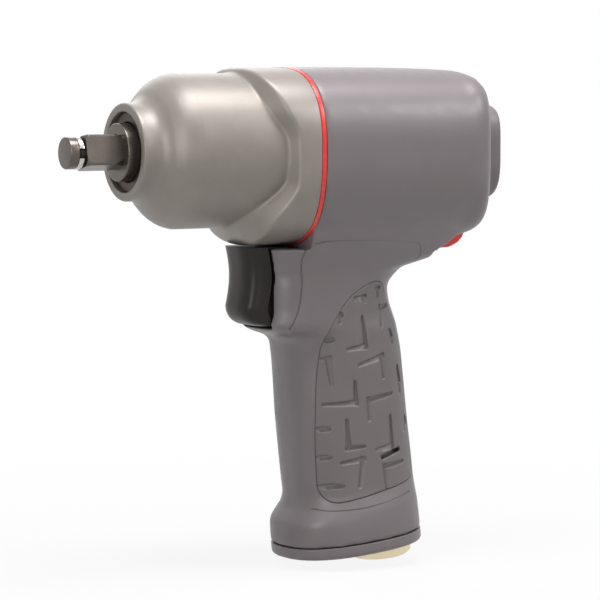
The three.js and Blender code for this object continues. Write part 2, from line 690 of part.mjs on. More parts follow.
function endPlateSolid(frontX, rearX, bearing, seatX, mouthX) {
  const plate = turnedSolid(cylinderProfile(frontX, rearX, motorRadius));
  const pocket = turnedSolid(cylinderProfile(mouthX, seatX, bearing.outer + seatGap));
  const hole = turnedSolid(cylinderProfile(frontX + overrun, rearX - overrun,
    bearing.inner + endPlate.lip / 2));
  const dowelHole = solid(alongX(disc(0, dowelPlace, dowel.radius + seatGap), frontX + overrun,
    rearX - overrun));
  return cut(plate, [pocket, hole, dowelHole]);
}

add('front_end_plate',
  endPlateSolid(frontPlateX, frontPlateRearX, frontBearing, frontSeatX, frontPlateX + overrun),
  castAluminium);

const supplyHighX = (rearPlateX + rearPlateRearX) / 2;

function rearEndPlate() {
  const plate = endPlateSolid(rearPlateX, rearPlateRearX, rearBearing, rearSeatX, rearPlateRearX - overrun);
  const feed = solid(alongZ(disc(supplyHighX, 0, supply.radius),
    -(motorRadius + overrun), -(motorRadius - supply.radius * 2)));
  const outlet = solid(alongX(disc(0, -(motorRadius - supply.radius * 1.5), supply.radius / 2),
    supplyHighX, rearPlateRearX - overrun));
  return cut(plate, [feed, outlet]);
}

add('rear_end_plate', rearEndPlate(), castAluminium);

function motorCylinder() {
  const shell = turnedSolid(cylinderProfile(cylinderFrontX, cylinderRearX, motorRadius));
  const bore = solid(alongX(disc(0, cylinder.eccentric, cylinderBore),
    cylinderFrontX + overrun, cylinderRearX - overrun, roundSegments));
  const dowelHole = solid(alongX(disc(0, dowelPlace, dowel.radius + seatGap),
    cylinderFrontX + overrun, cylinderRearX - overrun));
  const middleX = (cylinderFrontX + cylinderRearX) / 2;
  const slots = [];
  for (let i = 0; i < exhaustSlot.count; i += 1) {
    const x = middleX + (i - (exhaustSlot.count - 1) / 2) * exhaustSlot.pitchShare * cylinderLength;
    const half = (exhaustSlot.lengthShare * cylinderLength) / 2;
    slots.push(solid(alongZ(
      rectangle(x - half, -exhaustSlot.width / 2, x + half, exhaustSlot.width / 2),
      -(motorRadius + overrun), 0)));
  }
  return cut(shell, [bore, dowelHole, ...slots]);
}

add('motor_cylinder', motorCylinder(), toolSteel);
add('cylinder_dowel', solid(alongX(disc(0, dowelPlace, dowel.radius),
  cylinderRearX + dowel.length / 2, cylinderRearX - dowel.length / 2)), polishedSteel);

// Rings and balls of a bearing whose front face lies at frontX
function bearingNodes(prefix, bearing, frontX) {
  const rearX = frontX - bearing.width;
  const middleX = (frontX + rearX) / 2;
  const pitch = (bearing.inner + bearing.outer) / 2;
  const land = (bearing.outer - bearing.inner) * raceShare;
  const track = bearing.ball + runGap;
  const edge = Math.sqrt(track ** 2 - (pitch - bearing.inner - land) ** 2);
  const ring = (face, lip, deepest) => turnedSolid([
    [frontX, face], [frontX, lip], [middleX + edge, lip], [middleX + edge / 2, deepest],
    [middleX - edge / 2, deepest], [middleX - edge, lip], [rearX, lip], [rearX, face],
  ]);
  add(`${prefix}_bearing_outer_ring`, ring(bearing.outer, bearing.outer - land, pitch + track),
    polishedSteel);
  add(`${prefix}_bearing_inner_ring`, ring(bearing.inner + seatGap, bearing.inner + land, pitch - track),
    polishedSteel);
  const half = bearing.ball / 3;
  const cage = turnedSolid(tubeProfile(middleX + half, middleX - half, pitch - half, pitch + half),
    bearing.balls);
  const balls = Array.from({ length: bearing.balls }, (unused, k) => {
    const angle = (k * fullTurn) / bearing.balls;
    return solid(new THREE.SphereGeometry(bearing.ball, 6, 3)
      .translate(middleX, pitch * Math.cos(angle), pitch * Math.sin(angle)));
  });
  add(`${prefix}_bearing_balls`, union([cage, ...balls]), polishedSteel);
}

bearingNodes('front', frontBearing, frontPlateX);
bearingNodes('rear', rearBearing, rearSeatX - seatGap);

const rotorFrontX = cylinderFrontX - rotorBody.endGap;
const rotorRearX = cylinderRearX + rotorBody.endGap;

function vaneShape(index, thickness, inner, outer) {
  const angle = (index * fullTurn) / vane.count + Math.PI / 2;
  const along = [Math.cos(angle), Math.sin(angle)];
  const half = thickness / 2;
  return polygon([[inner, -half], [outer, -half], [outer, half], [inner, half]].map(
    ([out, side]) => [out * along[0] - side * along[1], out * along[1] + side * along[0]]));
}

function rotor() {
  const shaftFrontX = frontPlateX + looseGap;
  const splineFrontX = frameEndX + spline.length;
  const body = turnedSolid([
    [shaftFrontX, 0], [shaftFrontX, frontBearing.inner], [rotorFrontX, frontBearing.inner],
    [rotorFrontX, rotorRadius], [rotorRearX, rotorRadius], [rotorRearX, rearBearing.inner],
    [rearPlateRearX, rearBearing.inner], [rearPlateRearX, 0],
  ]);
  const splined = solid(alongX(splineShape(spline.shaftMinor, spline.shaftMajor), splineFrontX,
    shaftFrontX - seatGap));
  const slots = Array.from({ length: vane.count }, (unused, k) => solid(alongX(
    vaneShape(k, rotorBody.slotWidth, rotorRadius - rotorBody.slotDepth, rotorRadius + overrun),
    rotorFrontX + seatGap, rotorRearX - seatGap)));
  return cut(body, slots).add(splined);
}

add('rotor', rotor(), toolSteel);
for (let k = 0; k < vane.count; k += 1) {
  const shape = vaneShape(k, vane.thickness, rotorRadius - vane.height, rotorRadius - seatGap);
  add(`vane_${k + 1}`, solid(alongX(shape, rotorFrontX - seatGap, rotorRearX + seatGap)), vaneResin);
}

// Handle outline: each ring is an oval whose front, rear and thickness follow the shares
const topRear = Math.max(...handleShare.map((row) => row[2]));
const webSpan = (handleX - housingRearX - handle.webEnd - handle.halfLength) / (topRear - 1);

function handleRing(share, inset) {
  const [down, front, rear, thick, square] = share;
  const frontReach = front * handle.halfLength - inset;
  const rearReach = handle.halfLength + (rear - 1) * (rear > 1 ? webSpan : handle.halfLength) - inset;
  const middle = (frontReach - rearReach) / 2;
  const half = (frontReach + rearReach) / 2;
  const across = thick * handle.halfThickness - inset;
  return ringAngles(handleSegments).map((angle) => {
    const [c, s] = [Math.cos(angle), Math.sin(angle)];
    const power = 2 / (handle.exponent * (c > 0 ? square : 1));
    return new THREE.Vector3(
      middle + half * Math.sign(c) * Math.abs(c) ** power, across * Math.sign(s) * Math.abs(s) ** power,
      -down * handle.depth);
  });
}

function handleBody(inset, matrix, rows = handleShare) {
  return solid(loft(rows.map((share) => handleRing(share, inset))), matrix);
}

// The rows that shape the back of the grip panels and the floor of their pockets
const floorRows = handleShare.filter((share, row) => [0, 9, 13, 17, 19, 22, 26].includes(row));

// Outline of a grip panel, moved outwards by a growth
function panelOutline(growth) {
  const curve = new THREE.CatmullRomCurve3(panelShare.map(([forward, down]) => new THREE.Vector3(
    forward * handle.halfLength, 0, -down * handle.depth)), true);
  const points = curve.getPoints(panelShare.length).slice(0, -1);
  return polygon(points.map((point, k) => {
    const next = points[(k + 1) % points.length];
    const last = points[(k + points.length - 1) % points.length];
    const run = next.clone().sub(last).normalize();
    return [point.x - run.z * growth, point.z + run.x * growth];
  }));
}

function panelSide(shape, way) {
  const wide = section.side + overrun;
  return alongY(shape, 0, way * wide);
}

function gripPanelSolid(way) {
  const skin = handleBody(0).subtract(handleBody(gripPanelDepth, undefined, floorRows));
  return skin.intersect(solid(panelSide(panelOutline(0), way)));
}

add('grip_panel_left', gripPanelSolid(1), gripGrey, handleGroup);
add('grip_panel_right', gripPanelSolid(-1), gripGrey, handleGroup);

// Square-cornered outline of the boss on the rear cover, and of its hole through the housing
function bossRing(x, inset) {
  return ringAngles(roundSegments).map((angle) => {
    const [c, s] = [Math.cos(angle), Math.sin(angle)];
    const power = 2 / (s > 0 ? boss.topExponent : boss.footExponent);
    return new THREE.Vector3(x, (boss.halfWidth - inset) * Math.sign(c) * Math.abs(c) ** power,
      (boss.halfHeight - inset) * Math.sign(s) * Math.abs(s) ** power - boss.drop);
  });
}

// Motor housing: barrel and handle in one moulding
function leverRecess() {
  const swing = (lever.headHalfDeg + leverSwingDeg + leverSlackDeg) * degrees;
  const down = -Math.PI / 2;
  const [from, to] = [down - swing, down + swing];
  const head = alongX(arcSegment(lever.headInner - strokeGap, lever.reach * 2, from, to),
    reverseFrontX + looseGap, housingRearX - overrun);
  const stem = alongX(arcSegment(housingBore - overrun, lever.headInner, from, to),
    reverseFrontX + looseGap, reverseRearX - looseGap);
  return [solid(head), solid(stem)];
}

function triggerPocket() {
  const backX = triggerRearX - triggerTravel - strokeGap;
  const floorZ = -(trigger.bottomZ + strokeGap);
  const pocketCorner = triggerHeel + strokeGap;
  const shape = new THREE.Shape();
  shape.moveTo(triggerFrontX, -trigger.topZ + overrun);
  shape.lineTo(backX, -trigger.topZ + overrun);
  shape.lineTo(backX, floorZ + pocketCorner);
  shape.absarc(backX + pocketCorner, floorZ + pocketCorner, pocketCorner, Math.PI, Math.PI * 1.5);
  shape.lineTo(triggerFrontX, floorZ);
  const wide = trigger.halfWidth + looseGap;
  return solid(alongY(shape, -wide, wide));
}

function motorHousing() {
  const barrel = solid(loft(barrelShare.map(([along, ...shares]) => sectionRing(
    housingFrontX - along * housing.length, housing.proud, shares))));
  const bore = turnedSolid(cylinderProfile(housingFrontX + overrun, rearWallX, housingBore));
  const coverHole = solid(loft([bossRing(rearWallX + overrun, 0), bossRing(housingRearX - overrun, 0)]));
  const pocketX = housingRearX + screwPocket.depth;
  const caseClearZ = -(sectionDown + strokeGap);
  const wide = section.side + overrun;
  const caseClear = solid(alongY(
    rectangle(housingFrontX, caseClearZ, triggerFrontX + overrun, sectionUp), -wide, wide));
  const inletTop = -chamber.top;
  const chamberCut = uprightSolid([
    [inletTop, 0], [inletTop, chamber.neckRadius], [-chamber.neckBottom, chamber.neckRadius],
    [-chamber.neckBottom, chamber.radius], [-chamber.bottom, chamber.radius],
    [-chamber.bottom, inletPassage.radius], [-handle.depth + inletBushing.shankLength, inletPassage.radius],
    [-handle.depth + inletBushing.shankLength, inletBushing.shank + looseGap],
    [-handle.depth + inletSeal.depth, inletBushing.shank + looseGap],
    [-handle.depth + inletSeal.depth, inletSeal.recess],
    [-handle.depth - overrun, inletSeal.recess], [-handle.depth - overrun, 0],
  ], inletOffset, handleMatrix, smallSegments);
  const exhaust = solid(alongZ(roundedRectangle(
    exhaustPassage.rear, -exhaustPassage.halfWidth, exhaustPassage.front, exhaustPassage.halfWidth,
    exhaustPassage.corner), -handle.depth - overrun, -exhaustPassage.top, 12), handleMatrix);
  const ports = [1, -1].map((way) => solid(alongZ(
    disc(handleX + exhaustPort.ahead, way * exhaustPort.side, exhaustPort.radius), -exhaustPort.bottom,
    -exhaustPort.top)));
  const supplyLow = new THREE.Vector3(handleX - supply.behind, 0, supply.lowZ);
  const supplyRun = new THREE.Vector3(supplyHighX, 0, supply.highZ).sub(supplyLow);
  const supplyBore = new THREE.CylinderGeometry(supply.radius, supply.radius, supplyRun.length(), 12)
    .translate(0, supplyRun.length() / 2, 0)
    .applyQuaternion(new THREE.Quaternion().setFromUnitVectors(axisY, supplyRun.clone().normalize()))
    .translate(supplyLow.x, 0, supplyLow.z);
  const rodCut = turnedSolid([
    [rodFrontX + overrun, 0], [rodFrontX + overrun, rodBushing.flange + looseGap],
    [rodBushingX - rodBushing.flangeLength, rodBushing.flange + looseGap],
    [rodBushingX - rodBushing.flangeLength, rodBushing.radius + seatGap],
    [handleX + inletOffset, rodBushing.radius + seatGap], [handleX + inletOffset, 0],
  ], smallSegments).translate([0, 0, rodZ]);
  const panelSkin = handleBody(-overrun, undefined, floorRows)
    .subtract(handleBody(gripPanelDepth + looseGap, undefined, floorRows));
  const panelPockets = [1, -1].map((way) => panelSkin
    .intersect(solid(panelSide(panelOutline(looseGap), way)))
    .transform(handleMatrix.elements));
  return cut(barrel.add(handleBody(0, handleMatrix)), [
    bore, coverHole, caseClear, triggerPocket(), chamberCut, exhaust, ...ports, solid(supplyBore), rodCut,
    ...screwHoles(housingFrontX + overrun, pocketX - overrun, screw.radius + looseGap),
    ...screwHoles(pocketX, housingRearX - overrun, screwPocket.radius), ...leverRecess(), ...panelPockets,
  ]);
}

// Trigger rod line, level with the upper end of the valve stem
const stemTopX = handleX + inletOffset * Math.cos(handleLean) - valve.stemTop * Math.sin(handleLean);
const rodZ = handleAt.z - inletOffset * Math.sin(handleLean)
  - (valve.stemTop + rod.radius) * Math.cos(handleLean);
const rodFrontX = triggerRearX;
const rodRearX = stemTopX + valve.stemRadius + rod.stemGap;
const rodBushingX = triggerRearX - triggerTravel - strokeGap - seatGap;

add('motor_housing', motorHousing(), housingGrey);

// Rear cover with its boss, its gasket and the long screws
function rearCover() {
  const plate = turnedSolid(cylinderProfile(coverFrontX, coverRearX, motorRadius));
  const knob = solid(loft([
    bossRing(coverRearX + seatGap, seatGap * 2), bossRing(bossRearX + boss.edge, seatGap * 2),
    bossRing(bossRearX + boss.edge / 3, boss.edge / 3), bossRing(bossRearX, boss.edge),
  ]));
  const recess = turnedSolid(cylinderProfile(
    coverFrontX + overrun, coverRearX - bossRecess.length, boss.halfWidth - bossRecess.wall));
  const tube = solid(alongX(disc(0, detentPlace, detent.tube), coverFrontX + detent.tubeLength,
    coverRearX));
  const tubeBore = solid(alongX(disc(0, detentPlace, detent.ball + runGap),
    coverFrontX + detent.tubeLength + overrun, coverRearX + seatGap + detent.wire));
  return cut(plate.add(knob), [recess]).add(tube).subtract(tubeBore);
}

add('rear_cover', rearCover(), housingGrey);
const bossCorner = Math.max(...bossRing(bossRearX, 0).map((point) => Math.hypot(point.y, point.z)));
add('rear_gasket', turnedSolid(tubeProfile(
  gasketFrontX, rearWallX + seatGap, bossCorner + looseGap, motorRadius)), blackRubber);

function housingScrew([y, z]) {
  const headX = housingRearX + screwPocket.depth - seatGap;
  const shank = solid(alongX(disc(y, z, screw.radius - seatGap), headX - seatGap,
    caseRearX + screw.reach - seatGap));
  const head = solid(alongX(disc(y, z, screw.headRadius), headX, headX - screw.headLength));
  const reach = screw.socketAcross / 2 / Math.cos(Math.PI / hexSides);
  const corners = Array.from({ length: hexSides }, (unused, k) => {
    const angle = (k * fullTurn) / hexSides;
    return [y + reach * Math.cos(angle), z + reach * Math.sin(angle)];
  });
  const drive = solid(alongX(polygon(corners), headX - screw.headLength + screw.socketDepth,
    headX - screw.headLength - overrun));
  return shank.add(head).subtract(drive);
}

screwPlaces.forEach((place, k) => add(`housing_screw_${k + 1}`, housingScrew(place), toolSteel));

// Reversing valve, its lever, the detent and the clamp washer
function reverseValveSolid() {
  const body = turnedSolid(cylinderProfile(reverseFrontX, reverseRearX, reverseRadius));
  const ports = Array.from({ length: reverseValve.ports }, (unused, k) => {
    const angle = ((k + 0.5) * fullTurn) / reverseValve.ports;
    const place = reverseRadius * reverseValve.portPlaceShare;
    const port = disc(place * Math.cos(angle), place * Math.sin(angle), reverseValve.port);
    return solid(alongX(port, reverseFrontX + overrun, reverseRearX - overrun));
  });
  const hub = turnedSolid(cylinderProfile(reverseFrontX + overrun, reverseRearX - overrun,
    reverseValve.hub));
  const socket = solid(alongX(rectangle(-lever.stemWidth / 2, -(reverseRadius + overrun),
    lever.stemWidth / 2, -(reverseRadius - overrun)), reverseFrontX + overrun, reverseRearX - overrun));
  return cut(body, [...ports, hub, socket]);
}

add('reverse_valve', reverseValveSolid(), castAluminium);

function reverseLever() {
  const half = lever.stemWidth / 2 - runGap;
  const stem = solid(alongX(rectangle(-half, -(lever.headInner + overrun), half,
    -(reverseRadius - overrun + runGap)), reverseFrontX - seatGap, reverseRearX + seatGap));
  const spread = lever.headHalfDeg * degrees;
  const down = -Math.PI / 2;
  const headFrontX = reverseFrontX - seatGap;
  const block = solid(alongX(arcSegment(lever.headInner, lever.reach, down - spread, down + spread),
    headFrontX, headFrontX - lever.headLength));
  const bulge = new THREE.Shape();
  bulge.absellipse(headFrontX - lever.headLength / 2 + looseGap, -lever.headInner, lever.headLength / 2,
    lever.reach - lever.headInner, Math.PI, fullTurn);
  const wide = lever.reach;
  return stem.add(block.intersect(solid(alongY(bulge, -wide, wide, roundSegments))));
}

add('reverse_lever', reverseLever(), signalRed);

const detentX = reverseRearX - detent.ball - seatGap;
add('detent_ball', solid(new THREE.SphereGeometry(detent.ball, 10, 8).translate(detentX, 0, detentPlace)),
  polishedSteel);
const detentSpringFrontX = detentX - detent.ball - detent.wire - seatGap;
const detentSpringRearX = coverRearX + seatGap + detent.wire * 2 + seatGap;
const detentCoil = coil(
  0, detentSpringFrontX - detentSpringRearX, detent.springRadius, detent.springRadius, detent.turns,
  detent.wire);
add('detent_spring',
  solid(detentCoil.rotateY(Math.PI / 2).translate(detentSpringRearX, 0, detentPlace)), toolSteel);

const washerRearX = coverFrontX + seatGap;
const washerFrontX = reverseRearX - runGap;
const washerInner = washerOuter - clampWasher.width;
add('clamp_washer', turnedSolid([
  [washerRearX, washerOuter - clampWasher.thickness], [washerRearX, washerOuter],
  [washerFrontX, washerInner + clampWasher.thickness], [washerFrontX, washerInner],
]), toolSteel);

// Trigger: side profile and plan profile crossed, with a finger scoop down its front
function triggerSolid() {
  const { topZ, bottomZ, halfWidth, sideStep, padLength } = trigger;
  const [frontX, rearX] = [triggerFrontX, triggerRearX];
  const side = new THREE.Shape();
  side.moveTo(rearX, -topZ);
  side.lineTo(rearX, -bottomZ + triggerHeel);
  side.absarc(rearX + triggerHeel, -bottomZ + triggerHeel, triggerHeel, Math.PI, Math.PI * 1.5);
  side.lineTo(frontX - triggerCorner, -bottomZ);
  side.absarc(frontX - triggerCorner, -bottomZ + triggerCorner, triggerCorner, Math.PI * 1.5, fullTurn);
  side.quadraticCurveTo(frontX - triggerScoop * 2, -(topZ + bottomZ - triggerCorner) / 2, frontX, -topZ);
  const plan = new THREE.Shape();
  const backWidth = halfWidth - sideStep;
  const padX = frontX - padLength;
  plan.moveTo(rearX - overrun, -backWidth);
  plan.lineTo(padX, -backWidth);
  plan.lineTo(padX + sideStep, -halfWidth);
  plan.absellipse(frontX - padLength / 2, 0, padLength / 2 + seatGap, halfWidth, -Math.PI / 2, Math.PI / 2);
  plan.lineTo(padX + sideStep, halfWidth);
  plan.lineTo(padX, backWidth);
  plan.lineTo(rearX - overrun, backWidth);
  const sideBody = solid(alongY(side, -halfWidth - overrun, halfWidth + overrun, smallSegments));
  const planBody = solid(alongZ(plan, -bottomZ - overrun, -topZ + overrun, smallSegments));
  const socket = turnedSolid(
    cylinderProfile(rodFrontX - overrun, rodFrontX + overrun * 2, rod.radius + seatGap), smallSegments,
  ).translate([0, 0, rodZ]);
  return sideBody.intersect(planBody).subtract(socket);
}

add('trigger', triggerSolid(), triggerBlack);
add('trigger_rod', turnedSolid(
  cylinderProfile(rodFrontX + overrun * 2 - seatGap, rodRearX, rod.radius), smallSegments,
).translate([0, 0, rodZ]), polishedSteel);
add('trigger_bushing', turnedSolid([
  [rodBushingX, rod.radius + runGap], [rodBushingX, rodBushing.flange],
  [rodBushingX - rodBushing.flangeLength + seatGap, rodBushing.flange],
  [rodBushingX - rodBushing.flangeLength + seatGap, rodBushing.radius],
  [rodBushingX - rodBushing.length, rodBushing.radius],
  [rodBushingX - rodBushing.length, rod.radius + runGap],
], smallSegments).translate([0, 0, rodZ]), bronze);

// Throttle valve, seat and spring in the handle's inlet passage
const seatTop = -chamber.neckBottom - looseGap;
const seatBottom = seatTop - seat.length;
const valveTop = seatBottom - looseGap;
const valveBottom = valveTop - valve.thickness;
add('valve_seat', uprightSolid(
  tubeProfile(seatTop, seatBottom, seat.bore, chamber.radius - looseGap), inletOffset,
), blackRubber, handleGroup);
add('throttle_valve', uprightSolid([
  [-valve.stemTop, 0], [-valve.stemTop, valve.stemRadius], [valveTop, valve.stemRadius],
  [valveTop, valve.radius], [valveBottom, valve.radius], [valveBottom, 0],
], inletOffset), polishedSteel, handleGroup);

const springFoot = -chamber.bottom + looseGap + valveSpring.wire;
const springHead = valveBottom - looseGap - valveSpring.wire;
add('valve_spring', solid(coil(springFoot, springHead, valveSpring.bottomRadius, valveSpring.topRadius,
  valveSpring.turns, valveSpring.wire).translate(inletOffset, 0, 0)), polishedSteel, handleGroup);

// Exhaust foot: the plate under the handle, with the hole for the inlet and slots for the exhaust
function footRing(depth, inset) {
  const share = [...handleShare.at(-1)];
  share[0] = (handle.depth + depth) / handle.depth;
  return handleRing(share, inset);
}

function exhaustFoot() {
  const plate = solid(loft([
    footRing(looseGap, 0), footRing(foot.thickness - foot.edge, 0),
    footRing(foot.thickness - foot.edge / 3, foot.edge / 3),
    footRing(foot.thickness, foot.edge),
  ]));
  const { front, rear, halfWidth, corner } = exhaustPassage;
  const rimShape = roundedRectangle(
    rear + looseGap, -halfWidth + looseGap, front - looseGap, halfWidth - looseGap, corner);
  const rim = solid(alongZ(rimShape, -handle.depth + foot.rimHeight, -handle.depth - foot.thickness / 2,
    12));
  const inside = solid(alongZ(roundedRectangle(
    rear + foot.edge, -halfWidth + foot.edge, front - foot.edge, halfWidth - foot.edge, corner),
  -handle.depth + foot.rimHeight + overrun, -handle.depth - foot.thickness / 2, 12));
  const hole = uprightSolid(cylinderProfile(
    -handle.depth + overrun, -handle.depth - foot.thickness - overrun, inletBushing.shank + looseGap),
    inletOffset);
  const middle = (front + rear) / 2;
  const slots = Array.from({ length: foot.slots }, (unused, k) => {
    const x = middle + (k - (foot.slots - 1) / 2) * foot.slotPitch;
    return solid(alongZ(rectangle(
      x - foot.slotWidth / 2, -foot.slotLength / 2, x + foot.slotWidth / 2, foot.slotLength / 2),
    -handle.depth + overrun, -handle.depth - foot.thickness - overrun));
  });
  return cut(plate.add(rim), [inside, hole, ...slots]);
}

add('exhaust_foot', exhaustFoot(), housingGrey, handleGroup);

function silencerBlock() {
  const { front, rear, halfWidth, corner } = exhaustPassage;
  const bottom = -handle.depth + foot.rimHeight + looseGap;
  const block = solid(alongZ(roundedRectangle(
    rear + looseGap, -halfWidth + looseGap, front - looseGap, halfWidth - looseGap, corner - looseGap),
  bottom, bottom + silencer.length, 12));
  const bores = [-1, 0, 1].map((side) => solid(alongZ(
    disc((front + rear) / 2, side * (silencer.bore * 3), silencer.bore),
    bottom - overrun, bottom + silencer.length + overrun, 10)));
  return cut(block, bores);
}

add('exhaust_silencer', silencerBlock(), feltGrey, handleGroup);

// Air inlet
const hexTop = -handle.depth - foot.thickness - looseGap;
const hexBottom = hexTop - inletBushing.hexLength;
const shankTop = -handle.depth + inletBushing.shankLength - looseGap;

function inletBushingSolid() {
  const corner = inletBushing.across / 2 / Math.cos(Math.PI / hexSides);
  const corners = Array.from({ length: hexSides }, (unused, k) => {
    const angle = ((k + 0.5) * fullTurn) / hexSides;
    return [inletOffset + corner * Math.cos(angle), corner * Math.sin(angle)];
  });
  const hex = solid(alongZ(polygon(corners), hexBottom, hexTop));
  const limit = uprightSolid([
    [hexTop, 0], [hexTop, corner], [hexBottom + inletBushing.hexChamfer, corner],
    [hexBottom, corner - inletBushing.hexChamfer * 1.5], [hexBottom, 0],
  ], inletOffset, undefined, roundSegments / 2);
  const shank = uprightSolid(cylinderProfile(hexTop - seatGap, shankTop, inletBushing.shank), inletOffset);
  const bore = uprightSolid([
    [hexBottom - overrun, 0], [hexBottom - overrun, inletBushing.thread],
    [hexBottom + inletThread.depth, inletBushing.thread],
    [hexBottom + inletThread.depth, inletThread.throat],
    [shankTop + overrun, inletThread.throat], [shankTop + overrun, 0],
  ], inletOffset);
  return hex.intersect(limit).add(shank).subtract(bore);
}

add('inlet_bushing', inletBushingSolid(), hexNickel, handleGroup);

add('inlet_seal', solid(new THREE.TorusGeometry(
  inletSeal.ring, inletSeal.cord, cordSides, cordSegments,
).translate(inletOffset, 0, -handle.depth + inletSeal.depth - looseGap - inletSeal.cord)), blackRubber,
handleGroup);

const screenBottom = shankTop + looseGap;
add('inlet_screen', uprightSolid([
  [screenBottom, screen.radius], [screenBottom + screen.length, screen.radius - screen.wall],
  [screenBottom + screen.length, 0], [screenBottom + screen.length - screen.wall, 0],
  [screenBottom + screen.length - screen.wall, screen.radius - screen.wall * 2],
  [screenBottom, screen.radius - screen.wall],
], inletOffset), polishedSteel, handleGroup);

export default tool;
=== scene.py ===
"""Air impact wrench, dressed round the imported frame. Lengths are millimetres until a mesh is made."""
import json
import math

import bmesh
import bpy
import numpy as np
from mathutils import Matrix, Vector
from mathutils.bvhtree import BVHTree

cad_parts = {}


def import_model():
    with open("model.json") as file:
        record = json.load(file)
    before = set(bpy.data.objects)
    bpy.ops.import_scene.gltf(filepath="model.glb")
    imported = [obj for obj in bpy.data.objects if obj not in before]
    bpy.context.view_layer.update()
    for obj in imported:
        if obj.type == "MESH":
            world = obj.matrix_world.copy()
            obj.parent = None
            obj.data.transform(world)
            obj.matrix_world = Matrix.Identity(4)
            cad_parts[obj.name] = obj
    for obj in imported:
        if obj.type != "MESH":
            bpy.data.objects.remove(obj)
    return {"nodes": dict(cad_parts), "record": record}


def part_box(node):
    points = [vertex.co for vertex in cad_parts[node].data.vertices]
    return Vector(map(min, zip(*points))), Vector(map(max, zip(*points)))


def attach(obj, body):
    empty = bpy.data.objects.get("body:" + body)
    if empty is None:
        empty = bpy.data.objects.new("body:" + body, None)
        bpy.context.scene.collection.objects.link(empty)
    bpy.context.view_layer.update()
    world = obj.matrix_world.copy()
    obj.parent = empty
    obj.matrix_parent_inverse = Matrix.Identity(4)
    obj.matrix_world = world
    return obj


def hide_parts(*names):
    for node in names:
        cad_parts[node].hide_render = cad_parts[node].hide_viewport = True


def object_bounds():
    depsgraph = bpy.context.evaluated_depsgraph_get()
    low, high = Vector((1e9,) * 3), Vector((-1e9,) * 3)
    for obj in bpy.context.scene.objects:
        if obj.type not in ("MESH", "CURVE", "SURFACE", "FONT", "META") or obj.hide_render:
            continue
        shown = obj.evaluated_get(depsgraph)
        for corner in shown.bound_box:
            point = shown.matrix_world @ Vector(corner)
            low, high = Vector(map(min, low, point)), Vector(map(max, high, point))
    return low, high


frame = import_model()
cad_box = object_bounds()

MM = 0.001
TURN = 2 * math.pi
SEAT_GAP = 0.05
LOOSE_GAP = 0.3
STROKE_GAP = 0.7
OVERRUN = 3
SHORT_OVERRUN = 1


def limits(node):
    """Lowest and highest corner of a CAD node, in millimetres."""
    low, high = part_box(node)
    return low / MM, high / MM


# Places that the frame gives
CASE_LOW, CASE_HIGH = limits("hammer_case")
GASKET_LOW, GASKET_HIGH = limits("trim_gasket")
COVER_LOW, COVER_HIGH = limits("rear_cover")
TRIGGER_LOW, TRIGGER_HIGH = limits("trigger")
ROD_LOW, ROD_HIGH = limits("trigger_rod")
LEVER_LOW, LEVER_HIGH = limits("reverse_lever")
VALVE_LOW, VALVE_HIGH = limits("reverse_valve")
NOSE_X = CASE_HIGH.x
CASE_REAR_X = CASE_LOW.x
HOUSING_FRONT_X = GASKET_LOW.x - SEAT_GAP
HOUSING_REAR_X = limits("motor_housing")[0].x
ROD_Z = (ROD_LOW.z + ROD_HIGH.z) / 2

# Outline that the case, gasket and housing share
SECTION_SIDE = CASE_HIGH.y
SECTION_UP = CASE_HIGH.z
SECTION_DOWN = -CASE_LOW.z
SECTION_EXPONENT = 2.6
HOUSING_PROUD = 0.25
HOUSING_BORE = 21
BESIDE = SECTION_SIDE + OVERRUN

# Handle frame and outline
HANDLE_X = HOUSING_FRONT_X - 15.3
HANDLE_Z = -30
HANDLE_LEAN = math.radians(6)
HANDLE_DEPTH = 92.4
HANDLE_HALF_LENGTH = 20.8
HANDLE_HALF_THICKNESS = 18
HANDLE_EXPONENT = 2.4
HANDLE_WEB_END = 0.9
INLET_FORWARD = -9.7
# Each row: down the handle, front, rear, thickness, squareness of the front half
HANDLE_SHARE = np.array([
    [-0.086, 1.2, 2.23, 1.28, 1.25], [-0.043, 1.25, 2.27, 1.24, 1.25], [-0.011, 1.26, 2.28, 1.18, 1.25],
    [0.021, 1.26, 2.28, 1.11, 1.25], [0.054, 1.27, 2.25, 1.055, 1.25], [0.068, 1.27, 2.14, 1.035, 1.25],
    [0.077, 1.27, 1.87, 1.02, 1.25], [0.087, 1.28, 1.56, 1.005, 1.25], [0.094, 1.28, 1.26, 1, 1.25],
    [0.102, 1.28, 1.12, 0.995, 1.25], [0.114, 1.29, 1.055, 0.99, 1.25], [0.135, 1.3, 0.925, 0.985, 1.25],
    [0.164, 1.31, 0.85, 0.98, 1.25], [0.199, 1.335, 0.855, 0.98, 1.25], [0.231, 1.4, 0.88, 0.98, 1.25],
    [0.245, 1.35, 0.9, 0.98, 1.25], [0.26, 1.25, 0.91, 0.985, 1.2], [0.279, 1.065, 0.928, 0.99, 1.1],
    [0.306, 0.955, 0.94, 0.995, 1.05], [0.387, 0.96, 0.975, 1, 1], [0.59, 0.99, 0.98, 1, 1],
    [0.795, 0.985, 1, 1, 1], [0.829, 0.975, 1, 1.01, 1], [0.866, 1.02, 1.005, 1.06, 1],
    [0.891, 1.12, 1.015, 1.1, 1], [0.924, 1.225, 1.02, 1.125, 1], [1, 1.24, 1.025, 1.135, 1],
])
# Each row: along the housing, width, height and squareness of its outline
BARREL_SHARE = np.array([
    [0, 1, 1, 1], [0.48, 0.99, 0.99, 1], [0.84, 0.975, 0.966, 1.05], [0.9, 0.953, 0.955, 1.2],
    [0.94, 0.915, 0.925, 1.3], [0.97, 0.84, 0.897, 1.4], [0.99, 0.765, 0.87, 1.5], [1, 0.71, 0.82, 1.6],
])
